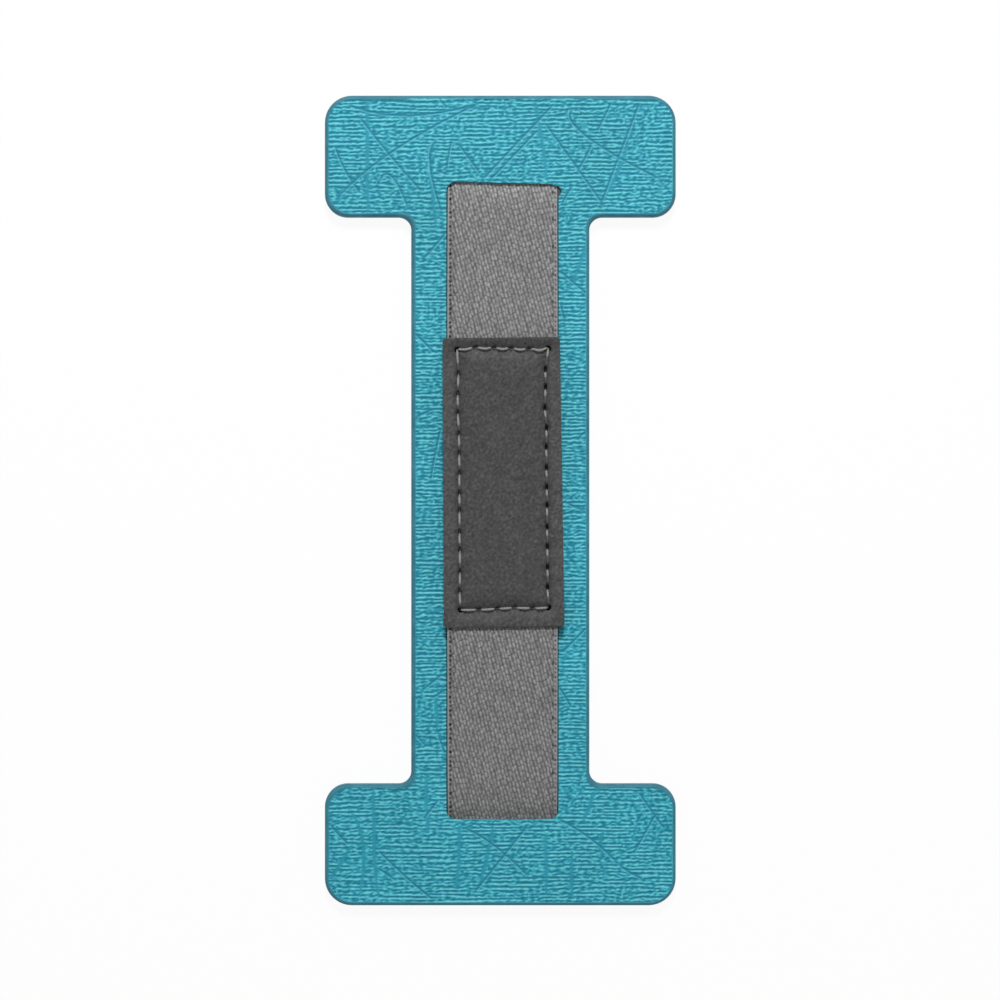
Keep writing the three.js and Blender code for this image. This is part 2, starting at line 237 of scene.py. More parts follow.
def read_lattice(lattice, steps, corner, x, y):
    """The lattice's values between its points, at x and y in mm."""
    rows, columns = lattice.shape
    u = np.clip((x - corner[0]) / steps[0], 0, columns - 1.001)
    v = np.clip((y - corner[1]) / steps[1], 0, rows - 1.001)
    i, j = u.astype(int), v.astype(int)
    fu, fv = u - i, v - j
    low = lattice[j, i] * (1 - fu) + lattice[j, i + 1] * fu
    high = lattice[j + 1, i] * (1 - fu) + lattice[j + 1, i + 1] * fu
    return low * (1 - fv) + high * fv


def distance_to_curve(x, y, start, middle, end, pieces=14):
    """Distance from points to a curve through three points, how far along it they are, from 0 to 1,
    and 1 where they are above it in the picture and -1 below."""
    best = np.full(x.shape, np.inf)
    along = np.zeros(x.shape)
    side = np.zeros(x.shape)
    chord = np.array(end) - np.array(start)
    upward = np.array([-chord[1], chord[0]]) * (1 if chord[0] >= 0 else -1)
    control = 2 * np.array(middle) - (np.array(start) + np.array(end)) / 2
    shares = np.linspace(0, 1, pieces + 1)[:, None]
    points = (
        (1 - shares) ** 2 * np.array(start)
        + 2 * shares * (1 - shares) * control
        + shares**2 * np.array(end)
    )
    for n in range(pieces):
        a, step = points[n], points[n + 1] - points[n]
        t = np.clip(((x - a[0]) * step[0] + (y - a[1]) * step[1]) / (step @ step), 0, 1)
        off_x = x - a[0] - t * step[0]
        off_y = y - a[1] - t * step[1]
        d = np.hypot(off_x, off_y)
        nearer = d < best
        best = np.where(nearer, d, best)
        along = np.where(nearer, (n + t) / pieces, along)
        side = np.where(nearer, np.sign(off_x * upward[0] + off_y * upward[1]), side)
    return best, along, side


# %% [markdown]
# The pad's form. A flat grid of three by three faces has its lines slid to the I's lines, and loses
# the two faces beside the stem. The rest becomes one face, is extruded, and has its corners rounded
# with a bevel of each radius. The same steps, with an inset, give the hollow for the board.

# %% The I-shaped block


def i_block(name, inset, bottom, top, edge_round=0.0):
    bpy.ops.mesh.primitive_grid_add(x_subdivisions=3, y_subdivisions=3, size=2)
    block = bpy.context.object
    block.name = name
    half_width = PANEL_WIDTH / 2 - inset
    half_length = PANEL_LENGTH / 2 - inset
    half_stem = STEM_WIDTH / 2 - inset
    shoulder = PANEL_LENGTH / 2 - BAR_HEIGHT + inset
    edit(block)
    for axis, inner, outer in ((0, half_stem, half_width), (1, shoulder, half_length)):
        for reach, target in ((1, outer), (1 / 3, inner)):
            choose(block, "VERT", lambda v: abs(abs(v.co[axis]) - reach) < 1e-4)
            scale = [1, 1, 1]
            scale[axis] = target / reach
            bpy.ops.transform.resize(value=scale, center_override=(0, 0, 0))
    choose(
        block, "FACE",
        lambda f: abs(f.calc_center_median().x) > half_stem
        and abs(f.calc_center_median().y) < shoulder,
    )
    bpy.ops.mesh.delete(type="FACE")
    choose(block, "FACE", lambda f: True)
    bpy.ops.mesh.dissolve_faces()
    bpy.ops.mesh.select_all(action="SELECT")
    bpy.ops.transform.translate(value=(0, 0, bottom))
    bpy.ops.mesh.extrude_region_move(TRANSFORM_OT_translate={"value": (0, 0, top - bottom)})
    bpy.ops.mesh.select_all(action="SELECT")
    bpy.ops.mesh.normals_make_consistent(inside=False)

    def upright(edge, x, y):
        a, b = edge.verts
        return (
            abs(a.co.z - b.co.z) > (top - bottom) / 2
            and abs(abs(a.co.x) - x) < 1e-5
            and abs(abs(a.co.y) - y) < 1e-5
        )

    for x, y, radius in (
        (half_width, half_length, END_CORNER_RADIUS - inset),
        (half_width, shoulder, SHOULDER_CORNER_RADIUS - inset),
        (half_stem, shoulder, STEM_FILLET_RADIUS + inset),
    ):
        choose(block, "EDGE", lambda e: upright(e, x, y))
        bpy.ops.mesh.bevel(offset=radius, offset_type="OFFSET", segments=10, affect="EDGES")
    if edge_round:
        choose(
            block, "EDGE",
            lambda e: min(e.verts[0].co.z, e.verts[1].co.z) > top - 1e-6,
        )
        bpy.ops.mesh.bevel(offset=edge_round, offset_type="OFFSET", segments=5, affect="EDGES")
    leave_edit()
    return block


# %% [markdown]
# The window and the grip have rounded corners too. Their tools are boxes: a cube is scaled to its
# size, and a bevel of its four upright edges gives the corners.

# %% A rounded box


def rounded_box(name, centre, size, radius):
    bpy.ops.mesh.primitive_cube_add(size=1, location=centre)
    block = bpy.context.object
    block.name = name
    block.scale = size
    fix_place(block)
    edit(block)
    choose(block, "EDGE", lambda e: abs(e.verts[0].co.z - e.verts[1].co.z) > size[2] / 2)
    bpy.ops.mesh.bevel(offset=radius, offset_type="OFFSET", segments=6, affect="EDGES")
    leave_edit()
    return block


# %% [markdown]
# The form is the I less the space for its board, with the window punched through. On the real strap
# the punch sat askew at the upper end and left a round nick in one corner. So two corners of the
# window's tool are slid down, and a small drill makes the nick.

# %% The pad's form, its window and its nick
panel_form = i_block("panel_form", 0, PANEL_BOTTOM, PANEL_TOP, EDGE_ROUND)
board_space = i_block("board_space", RIM_WALL, PANEL_BOTTOM - MM, SKIN_BOTTOM)
cut(panel_form, board_space)
window = rounded_box(
    "window",
    (BAND_CENTRE_X, 0, PANEL_TOP),
    (WINDOW_WIDTH, WINDOW_LENGTH, TOOL_DEPTH),
    WINDOW_CORNER_RADIUS,
)
edit(window)
choose(window, "VERT", lambda v: v.co.x > BAND_CENTRE_X + WINDOW_WIDTH / 4 and v.co.y > 0)
bpy.ops.transform.translate(value=(0, -WINDOW_SKEW, 0))
leave_edit()
cut(panel_form, window)
bpy.ops.mesh.primitive_cylinder_add(
    vertices=24, radius=NICK_RADIUS, depth=TOOL_DEPTH,
    location=(
        BAND_CENTRE_X + WINDOW_WIDTH / 2 - NICK_RADIUS / 2,
        WINDOW_LENGTH / 2 - NICK_DROP,
        PANEL_TOP,
    ),
)
nick = bpy.context.object
fix_place(nick)
cut(panel_form, nick)
report(panel_form)

# %% [markdown]
# The embossed leather. A fine grid, long cells across the strap and short ones along it because the
# grain lines run across, is thickened to a slab. Only what lies inside the pad's form is kept. Its
# top is a hair below the form's, so that the form's rounded edge stays as a smooth rim.

# %% The panel's fine grid
CELL_ACROSS = 0.32  # in mm, as all of the relief's sizes are
CELL_ALONG = 0.14
SLAB_BELOW_TOP = 0.02 * MM
slab_columns = math.ceil((PANEL_WIDTH / MM + 1) / CELL_ACROSS)
slab_rows = math.ceil((PANEL_LENGTH / MM + 1) / CELL_ALONG)
slab_corner = (-slab_columns * CELL_ACROSS / 2, -slab_rows * CELL_ALONG / 2)

bpy.ops.mesh.primitive_grid_add(
    x_subdivisions=slab_columns, y_subdivisions=slab_rows, size=1,
    location=(0, 0, PANEL_TOP - SLAB_BELOW_TOP),
)
panel = bpy.context.object
panel.name = "embossed_panel"
panel.scale = (slab_columns * CELL_ACROSS * MM, slab_rows * CELL_ALONG * MM, 1)
fix_place(panel)
thicken = panel.modifiers.new("thicken", "SOLIDIFY")
thicken.thickness = TOOL_DEPTH
thicken.offset = -1
apply_all(panel)
cut(panel, panel_form, "INTERSECT")
report(panel)

# %% [markdown]
# The emboss. Fine raised lines run across the strap, about three quarters of a millimetre apart, and
# are chopped into dashes. Smooth tracks, where the plate has no lines, cross them. Thin scratches cut
# through all of it. The eye knows the leather by its tracks and scratches, so these are listed, each
# as start, middle and end in mm. The lines between them can be noise.

# %% Tracks and scratches
SCRATCHES = [
    # Upper cross bar
    ((-26.2, 71.1), (-20.5, 63.9), (-14.1, 56.6)),
    ((-3.2, 73.8), (-20.0, 64.5), (-30.8, 55.1)),
    ((-28.7, 73.4), (-17.0, 71.2), (-2.8, 73.8)),
    ((-30.7, 65.8), (-28.7, 61.0), (-25.9, 56.9)),
    ((-23.1, 57.8), (-20.3, 60.1), (-16.8, 53.1)),
    ((-11.7, 66.7), (-13.1, 62.5), (-10.8, 53.0)),
    ((-8.9, 66.7), (-9.5, 64.0), (-9.9, 61.0)),
    ((-11.2, 74.0), (-10.5, 73.3), (-9.9, 72.6)),
    ((13.7, 72.8), (15.6, 67.6), (31.8, 58.3)),
    ((25.9, 73.8), (22.7, 65.5), (18.1, 53.3)),
    ((20.6, 73.6), (19.3, 71.0), (17.9, 68.2)),
    ((8.06, 70.0), (13.9, 61.9), (19.75, 53.65)),
    ((17.0, 66.0), (15.8, 63.5), (14.4, 61.1)),
    ((13.5, 58.4), (12.4, 56.6), (11.4, 54.8)),
    ((-3.6, 59.0), (3.4, 66.4), (10.4, 73.8)),
    ((-2.1, 59.1), (2.2, 63.5), (7.5, 69.1)),
    ((-7.45, 65.5), (-5.75, 63.2), (-4.0, 60.9)),
    # Left stem
    ((-10.0, 49.6), (-11.9, 47.3), (-14.2, 44.6)),
    ((-15.8, 30.8), (-14.1, 29.2), (-12.3, 27.3)),
    ((-15.7, 15.1), (-14.0, 16.2), (-12.3, 16.8)),
    ((-10.9, 13.6), (-12.0, 8.6), (-12.9, 3.4)),
    ((-15.6, 1.4), (-14.8, 0.9), (-13.9, 0.3)),
    ((-15.7, -22.0), (-14.8, -22.7), (-13.6, -23.1)),
    ((-14.5, -35.2), (-12.7, -33.8), (-10.7, -32.2)),
    ((-12.7, -36.6), (-11.6, -36.0), (-10.5, -35.2)),
    ((-15.7, -43.3), (-14.8, -44.4), (-13.9, -45.3)),
    ((-11.5, -43.3), (-10.9, -45.2), (-10.2, -47.0)),
    # Right stem
    ((10.9, 42.5), (13.4, 40.4), (16.0, 38.2)),
    ((11.1, 36.7), (11.4, 35.1), (11.9, 33.3)),
    ((14.4, 11.3), (15.1, 12.1), (16.0, 12.8)),
    ((12.3, -0.4), (13.9, -1.3), (15.6, -1.9)),
    ((16.1, -23.5), (13.7, -25.9), (11.4, -28.3)),
    ((10.9, -34.6), (12.0, -36.4), (13.1, -38.3)),
    # Lower cross bar
    ((-22.8, -64.6), (-17.6, -69.6), (-12.1, -74.2)),
    ((-31.6, -59.9), (-29.6, -62.2), (-28.0, -63.7)),
    ((-22.7, -68.0), (-20.9, -69.3), (-19.2, -70.4)),
    ((-11.3, -55.3), (-12.7, -57.1), (-14.1, -58.9)),
    ((10.7, -59.0), (16.5, -62.5), (21.7, -67.2)),
    ((21.7, -67.2), (24.0, -68.9), (26.3, -70.0)),
    ((25.5, -53.9), (27.9, -57.4), (30.5, -61.0)),
    ((28.7, -58.0), (26.6, -62.0), (24.5, -65.6)),
    ((-7.0, -60.5), (-1.0, -64.0), (5.5, -70.0)),
    ((5.0, -60.3), (0.5, -66.0), (-5.5, -73.5)),
]
TRACKS = [
    # Upper cross bar
    ((-24.7, 74.5), (-24.6, 65.0), (-24.5, 53.2)),
    ((23.7, 67.0), (21.9, 61.0), (19.0, 56.0)),
    ((6.35, 73.8), (7.2, 69.6), (8.7, 59.2)),
    ((-13.0, 61.5), (-12.6, 57.0), (-11.9, 50.5)),
    # Stems
    ((-12.0, -36.6), (-11.7, -39.5), (-11.7, -42.3)),
    ((16.0, 47.8), (14.5, 43.1), (12.3, 38.7)),
    # Lower cross bar
    ((-23.4, -52.8), (-23.4, -63.0), (-22.6, -73.3)),
    ((-27.3, -58.0), (-25.3, -64.5), (-26.0, -73.0)),
    ((-13.7, -51.0), (-13.6, -57.5), (-13.2, -61.5)),
    ((-7.6, -60.3), (-7.7, -66.0), (-8.1, -71.8)),
    ((-1.3, -60.3), (-2.4, -65.5), (-4.0, -71.8)),
    ((8.3, -62.0), (8.5, -67.5), (8.4, -73.0)),
    ((17.3, -53.9), (16.5, -56.5), (15.3, -59.4)),
    ((19.0, -61.3), (18.6, -63.5), (18.8, -66.0)),
    ((13.3, -65.0), (13.2, -69.0), (13.3, -73.6)),
    ((-27.5, -64.0), (-29.5, -67.0), (-31.2, -70.0)),
]
TRACK_HALF_WIDTH = 0.27
SCRATCH_HALF_WIDTH = 0.24
print("Scratches:", len(SCRATCHES), "and tracks:", len(TRACKS))

# %% [markdown]
# The distance from the pad's outline keeps the rim smooth, because the press plate stops short of
# it. The I is the union of three rounded rectangles, blended a little where they meet.

# %% Distance from the outline


def inside_rectangle(x, y, half_width, half_height, radius):
    """How far inside a rounded rectangle each point is, in mm. Outside it is below 0."""
    dx = np.abs(x) - half_width + radius
    dy = np.abs(y) - half_height + radius
    outside = np.hypot(np.maximum(dx, 0), np.maximum(dy, 0))
    return radius - outside - np.minimum(np.maximum(dx, dy), 0)


def inside_panel(x, y):
    bar_centre = (PANEL_LENGTH - BAR_HEIGHT) / 2 / MM
    bars = inside_rectangle(
        x, np.abs(y) - bar_centre, PANEL_WIDTH / 2 / MM, BAR_HEIGHT / 2 / MM,
        END_CORNER_RADIUS / MM,
    )
    stem = inside_rectangle(x, y, STEM_WIDTH / 2 / MM, PANEL_LENGTH / 2 / MM, 0.01)
    # A smooth union, rounded at the stem's fillets
    reach = 2 * STEM_FILLET_RADIUS / MM
    share = np.clip(0.5 + 0.5 * (stem - bars) / reach, 0, 1)
    blended = bars * (1 - share) + stem * share + reach * share * (1 - share) * 0.5
    return np.maximum(np.maximum(bars, stem), np.minimum(blended, 2))


# %% [markdown]
# The grain's patterns. The lines of a press plate have an even pitch but wander. Each pattern keeps
# the waves that it needs: long runs across the strap for the lines, short ones for the beads that
# chop them, waves in every direction for scribbles, and broad ones for where scribbles take over.

# %% The grain's patterns
LINES_PER_MM = 1.35
LINE_SPREAD = 0.42  # how uneven the lines' pitch is
BEADS_PER_MM = 0.65
BEAD_SPREAD = 0.4
SCRIBBLES_PER_MM = 1 / 0.75
SCRIBBLE_SPREAD = 0.3
PATCH_SIZE = 9  # in mm, as the lattice is

lattice_counts = (slab_columns + 1, slab_rows + 1)
lattice_steps = (CELL_ACROSS, CELL_ALONG)


def grain_line(across, along):
    off_pitch = (np.abs(along) - LINES_PER_MM) / LINE_SPREAD
    long_runs = 1.4 * np.exp(-((across / 0.09) ** 2))
    short_runs = 0.35 * np.exp(-0.5 * (across / 0.8) ** 2)
    return np.exp(-0.5 * off_pitch**2) * (long_runs + short_runs)


def bead(across, along):
    off_pitch = (across - BEADS_PER_MM) / BEAD_SPREAD
    return np.exp(-0.5 * off_pitch**2 - 0.5 * (along / 0.6) ** 2)


def scribble(across, along):
    waves = np.hypot(across, along)
    return np.exp(-0.5 * ((waves - SCRIBBLES_PER_MM) / SCRIBBLE_SPREAD) ** 2)


def patches(across, along):
    return np.exp(-0.5 * (np.hypot(across, along) * PATCH_SIZE) ** 2)


line_noise = filtered_noise(11, lattice_counts, lattice_steps, grain_line)
bead_noise = filtered_noise(14, lattice_counts, lattice_steps, bead)
scribble_noise = filtered_noise(12, lattice_counts, lattice_steps, scribble)
patch_noise = filtered_noise(13, lattice_counts, lattice_steps, patches)
print("Points in each pattern:", lattice_counts[0] * lattice_counts[1])

# %% [markdown]
# The relief's height at any place. The lines give way to scribbles in patches. The beads chop the
# lines without bending them. A track flattens them to a low, even level, and a scratch is a thin
# groove through all of it. Each place also learns how far it is from the nearest scratch, and on
# which side, for the painted shade on a scratch's upper side and the painted highlight on its
# lower side.

# %% The relief's height
SCRIBBLE_SHARE = 0.4
BEAD_SHARE = 0.38
TRACK_LEVEL = 0.3
SCRATCH_DEPTH = 0.8


def emboss(x, y):
    """The relief from 0, at the bottom of the grain, to 1. Also the distance to the nearest scratch,
    below 0 on its lower side, and how much of a scratch there is."""
    def read(lattice):
        return read_lattice(lattice, lattice_steps, slab_corner, x, y)

    mix = SCRIBBLE_SHARE * ramp(0.4, 1.5, read(patch_noise))
    waves = read(line_noise) * (1 - mix) + read(scribble_noise) * mix
    height = ramp(-0.95, 1.05, waves + BEAD_SHARE * read(bead_noise))
    flat = np.zeros_like(height)
    for start, middle, end in TRACKS:
        d, along, _ = distance_to_curve(x, y, start, middle, end)
        taper = TRACK_HALF_WIDTH * np.sqrt(np.clip(4 * along * (1 - along) + 0.25, 0, 1))
        flat = np.maximum(flat, 1 - ramp(taper * 0.7, taper * 1.5, d))
    height = height * (1 - flat) + TRACK_LEVEL * flat
    nearest = np.full_like(height, 5.0)
    signed = np.full_like(height, 5.0)
    painted_scratch_mask = np.zeros_like(height)
    for start, middle, end in SCRATCHES:
        d, along, side = distance_to_curve(x, y, start, middle, end)
        fade = ramp(0, 0.08, along) * (1 - ramp(0.9, 1, along))
        groove = np.exp(-((d / SCRATCH_HALF_WIDTH) ** 2)) * fade
        height = height * (1 - SCRATCH_DEPTH * groove)
        nearer = d < nearest
        nearest = np.where(nearer, d, nearest)
        signed = np.where(nearer, d * side, signed)
        painted_scratch_mask = np.where(nearer, fade * (1 - ramp(0.42, 0.65, d)), painted_scratch_mask)
    return height, np.clip(signed, -1, 1), painted_scratch_mask


# %% [markdown]
# The plate is pressed on the panel's top, and stops short of its edges. It lay a little askew on the
# real strap. Lowering the vertices gives a relief that takes the light for real, which a bump in the
# material can't do at the edges. The height and the scratches are kept as attributes too, because
# the leather's colour follows them.

# %% Pressing the relief
RELIEF_DEPTH = 0.17
SMOOTH_RIM = 0.66
PLATE_SHIFT = 0.15  # the plate was laid a little to the right
PLATE_STRETCH = 0.004  # it is a little wide for the pad
PLATE_DROP = 0.18  # and sat low at the upper end

points = places(panel)
on_top = points[:, 2] > PANEL_TOP - SLAB_BELOW_TOP - 1e-6
on_top &= points[:, 2] < PANEL_TOP - SLAB_BELOW_TOP + 1e-6
top_x = points[on_top, 0] / MM
top_y = points[on_top, 1] / MM
height, scratch_side, painted_scratch_strength = emboss(top_x, top_y)
plate_x = (top_x - PLATE_SHIFT) * (1 - PLATE_STRETCH)
plate_y = top_y + PLATE_DROP * np.clip(top_y * MM / (PANEL_LENGTH / 2), 0, 1)
inside = inside_panel(plate_x, plate_y)
pressed = ramp(SMOOTH_RIM - 0.12, SMOOTH_RIM + 0.16, inside)
points[on_top, 2] -= pressed * (1 - height) * RELIEF_DEPTH * MM
put(panel, points)

relief = np.full(len(points), 0.5)
relief[on_top] = np.clip(0.5 * (1 - pressed) + pressed * height, 0, 1)
field = np.zeros(len(points))
field[on_top] = pressed
# The scratches' side and strength, for their painted shade and painted highlight
signed = np.ones(len(points))
signed[on_top] = scratch_side
painted_scratch_mask = np.zeros(len(points))
painted_scratch_mask[on_top] = painted_scratch_strength * pressed
write_attribute(panel, "relief", relief)
write_attribute(panel, "embossed", field)
write_attribute(panel, "scratch", signed)
write_attribute(panel, "painted_scratch_shade", painted_scratch_mask)
smooth(panel, 62)
print("Vertices in the relief:", int(on_top.sum()))

# %% [markdown]
# Material helpers. Every material is built of nodes on a Principled shader, and reads Object
# coordinates or an attribute of the piece, so it stays put when the strap is seen from elsewhere.

# %% Helpers for nodes


def material_nodes(name):
    material = bpy.data.materials.new(name)
    material.use_nodes = True
    tree = material.node_tree
    return material, tree, tree.nodes["Principled BSDF"]


def fill(tree, socket, value):
    """Sets an input to a value, or links it to another node's output."""
    if isinstance(value, bpy.types.NodeSocket):
        tree.links.new(value, socket)
    else:
        socket.default_value = value


def node(tree, kind, **settings):
    """Adds a node. A setting that names an input fills it, and any other is the node's own."""
    made = tree.nodes.new(kind)
    for key, value in settings.items():
        if hasattr(made, key) and key not in made.inputs:
            setattr(made, key, value)
        else:
            fill(tree, made.inputs[key.replace("_", " ")], value)
    return made


# %% [markdown]
# Colours are written as they look on a screen, as the photograph shows them. A ramp turns a height
# or a noise into a colour or a roughness.

# %% Helpers for colours


def colour(red, green, blue):
    """A colour given as it looks on a screen, 0 to 255, as the linear values that shaders use."""
    def linear(value):
        share = value / 255
        return share / 12.92 if share <= 0.04045 else ((share + 0.055) / 1.055) ** 2.4

    return (linear(red), linear(green), linear(blue), 1)


def grey(value):
    """A plain value as a colour, for roughness and for shades that multiply."""
    return (value, value, value, 1)


def scaled_object(tree, scale, turn=(0, 0, 0)):
    """Object coordinates, with scale in cells per metre."""
    coordinates = node(tree, "ShaderNodeTexCoord")
    mapping = node(tree, "ShaderNodeMapping", Vector=coordinates.outputs["Object"])
    mapping.inputs["Scale"].default_value = scale
    mapping.inputs["Rotation"].default_value = turn
    return mapping.outputs["Vector"]


def attribute(tree, name):
    return node(tree, "ShaderNodeAttribute", attribute_name=name).outputs["Fac"]


def colour_ramp(tree, factor, *stops):
    made = node(tree, "ShaderNodeValToRGB", Fac=factor)
    elements = made.color_ramp.elements
    while len(elements) < len(stops):
        elements.new(0.5)
    for element, (position, value) in zip(elements, stops):
        element.position = position
        element.color = value
    return made.outputs["Color"]


# %% [markdown]
# Noise at real size gives fibres and clouds. Sums and mixes put several of them together, and a bump
# is for the finest grain, which is too small for the mesh.

# %% Helpers for grain


def noise(tree, vector, scale, detail=3.0, roughness=0.5):
    made = node(tree, "ShaderNodeTexNoise", Vector=vector, Scale=scale, Detail=detail)
    made.inputs["Roughness"].default_value = roughness
    return made.outputs["Fac"]


def number(tree, operation, first, second):
    made = tree.nodes.new("ShaderNodeMath")
    made.operation = operation
    for socket, value in zip(made.inputs, (first, second)):
        fill(tree, socket, value)
    return made.outputs["Value"]


def mix_colours(tree, factor, first, second, blend="MIX"):
    made = tree.nodes.new("ShaderNodeMix")
    made.data_type = "RGBA"
    made.blend_type = blend
    # Of the node's many inputs, these are the ones for colours
    for index, value in ((0, factor), (6, first), (7, second)):
        fill(tree, made.inputs[index], value)
    return made.outputs[2]


def bump(tree, shader, height, strength, distance):
    made = node(tree, "ShaderNodeBump", Height=height, Strength=strength, Distance=distance)
    tree.links.new(made.outputs["Normal"], shader.inputs["Normal"])


# %% [markdown]
# The last step of every piece is the same: its material, what it moves with, and which solid of the
# CAD model it takes the place of. The strap has no joints, so all of it moves with the root.

# %% Finishing a piece


def finish_piece(piece, material, solid, slot):
    """Gives a piece its material and its body, hides the solid it stands for, and prints that solid's
    slot.
    """
    piece.data.materials.clear()
    piece.data.materials.append(material)
    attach(piece, "root")
    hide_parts(solid)
    print(piece.name, "is", slot, "and stands for", solid)


# %% [markdown]
# Turquoise leather. Its colour goes with the relief: the bottoms of the grain are a deeper blue and
# the lines' crests paler and polished, partly the leather's own two tones and partly painted shade in
# the bottoms and painted highlight on the crests. The rim that the plate left out is flat, duller and
# darker, partly its own tone and partly painted shade where its rounded edge turns from the light.
# Each scratch has a painted shade on its upper side and a painted highlight on its lower side. Fine
# streaks break up all of it, as the finish does.

# %% Embossed leather


def near(tree, value, centre, reach):
    """1 where the value is at the centre, falling to 0 at the reach."""
    gap = number(tree, "ABSOLUTE", number(tree, "SUBTRACT", value, centre), 0.0)
    share = number(tree, "SUBTRACT", 1.0, number(tree, "DIVIDE", gap, reach))
    return number(tree, "MAXIMUM", share, 0.0)


def embossed_leather():
    material, tree, shader = material_nodes("embossed_leather")
    relief = attribute(tree, "relief")
    # Partly the leather's own two tones, partly painted shade in the grain's bottoms and painted
    # highlight on its crests
    relief_tone_and_painted_light = colour_ramp(
        tree, relief,
        (0.0, colour(20, 119, 145)),
        (0.4, colour(43, 152, 173)),
        (0.75, colour(66, 172, 187)),
        (1.0, colour(96, 200, 209)),
    )
    streaks = noise(tree, scaled_object(tree, (900, 4200, 900)), 1.0, detail=3.0, roughness=0.6)
    streak_shade = colour_ramp(
        tree, streaks, (0.3, (0.74, 0.8, 0.82, 1)), (0.7, (1.14, 1.12, 1.1, 1))
    )
    pressed = mix_colours(tree, 1.0, relief_tone_and_painted_light, streak_shade, "MULTIPLY")
    side = attribute(tree, "scratch")
    painted_scratch_mask = attribute(tree, "painted_scratch_shade")
    broken = number(tree, "MULTIPLY", painted_scratch_mask, number(tree, "MULTIPLY", streaks, 1.7))
    # Painted shade on each scratch's upper side and painted highlight on its lower side, broken up by
    # the streaks
    dark = number(tree, "MULTIPLY", near(tree, side, 0.12, 0.27), broken)
    painted_scratch_highlight = number(tree, "MULTIPLY", near(tree, side, -0.2, 0.2), broken)
    pressed = mix_colours(tree, number(tree, "MULTIPLY", dark, 0.7), pressed, colour(22, 112, 140))
    pressed = mix_colours(
        tree, number(tree, "MULTIPLY", painted_scratch_highlight, 0.55), pressed, colour(108, 206, 214)
    )
    # The rim is darker: partly its own duller tone, partly painted shade where the rounded edge turns
    # from the light
    rim_tone_and_painted_shade = colour_ramp(
        tree, noise(tree, scaled_object(tree, (400, 400, 400)), 1.0),
        (0.3, colour(42, 108, 126)),
        (0.7, colour(58, 126, 143)),
    )
    whole = mix_colours(tree, attribute(tree, "embossed"), rim_tone_and_painted_shade, pressed)
    cloudy = noise(tree, scaled_object(tree, (90, 90, 90)), 1.0, detail=4.0)
    shade = colour_ramp(tree, cloudy, (0.3, (0.9, 0.92, 0.92, 1)), (0.7, (1.06, 1.05, 1.05, 1)))
    tinted = mix_colours(tree, 1.0, whole, shade, "MULTIPLY")
    tree.links.new(tinted, shader.inputs["Base Color"])
    polish = colour_ramp(
        tree, relief, (0.1, grey(0.62)), (0.9, grey(0.42))
    )
    tree.links.new(polish, shader.inputs["Roughness"])
    shader.inputs["Specular IOR Level"].default_value = 0.25
    bump(tree, shader, streaks, 0.5, 0.00009)
    return material


finish_piece(panel, embossed_leather(), "front_panel", "embossed_leather")

# %% [markdown]
# The elastic band. It is a woven tape: rubber cores run along it, and grey yarn is wrapped over them
# at a slant, which gives columns of short leaning dashes. Its tails lie flat in the board. From
# there it bends up out of the window, and it is flat again under the grip.

# %% The band's path
GRIP_LENGTH = 53.4 * MM
GRIP_WIDTH = 22.2 * MM
GRIP_TILT = math.radians(0.7)
GRIP_CENTRE_X = (grip_low.x + grip_high.x) / 2
GRIP_CENTRE_Y = (grip_low.y + grip_high.y) / 2
BAND_BEND = 5 * MM
BAND_FLAT_MARGIN = 0.6 * MM
SWELL_HEIGHT = 0.5 * MM
SWELL_REACH = 4.5 * MM
BAND_START_GAP = 0.18 * MM  # how far inside the window's end the band leaves the board
BAND_START = WINDOW_LENGTH / 2 - WINDOW_SKEW - BAND_START_GAP
BAND_RISE = rear_high.z - band_low.z


def band_underside(y):
    """Height of the band's underside at each y. It rises on a slope with an even bend at each end."""
    flat_end = np.sign(y) * GRIP_CENTRE_Y + GRIP_LENGTH / 2 + BAND_FLAT_MARGIN
    run = BAND_START - flat_end
    bend = BAND_BEND / run
    share = np.clip((BAND_START - np.abs(y)) / run, 0, 1)
    gain = 2 * bend * (1 - bend)
    straight = (share - bend / 2) / (1 - bend)
    risen = np.where(share < bend, share**2 / gain, straight)
    risen = np.where(share > 1 - bend, 1 - (1 - share) ** 2 / gain, risen)
    # Where it leaves the board, the band swells up before it slopes
    out = np.maximum(BAND_START - np.abs(y), 0) / SWELL_REACH
    return band_low.z + BAND_RISE * risen + SWELL_HEIGHT * out * np.exp(1 - out)


print("The band rises", round(BAND_RISE / MM, 2), "mm")

# %% [markdown]
# The tape. A flat grid is thickened to a slab and then each of its rows is put at its place along
# the path. The rows are fine where the weave shows, and coarse in the tails and under the grip.

# %% The tape
grip_lower_edge = GRIP_CENTRE_Y - GRIP_LENGTH / 2
grip_upper_edge = GRIP_CENTRE_Y + GRIP_LENGTH / 2
FINE = 0.27 * MM
COARSE = 1.3 * MM
UNDER_SKIN = 1 * MM  # how far the fine rows go on, so that no change of rows shows
UNDER_GRIP = 0.8 * MM
BAND_COLUMNS = 150


def rows_between(start, end, step):
    return np.linspace(start, end, max(2, round((end - start) / step) + 1))[:-1]


band_rows = np.concatenate([
    rows_between(band_low.y, -BAND_START - UNDER_SKIN, COARSE),
    rows_between(-BAND_START - UNDER_SKIN, grip_lower_edge + UNDER_GRIP, FINE),
    rows_between(grip_lower_edge + UNDER_GRIP, grip_upper_edge - UNDER_GRIP, COARSE),
    rows_between(grip_upper_edge - UNDER_GRIP, BAND_START + UNDER_SKIN, FINE),
    rows_between(BAND_START + UNDER_SKIN, band_high.y, COARSE),
    [band_high.y],
])

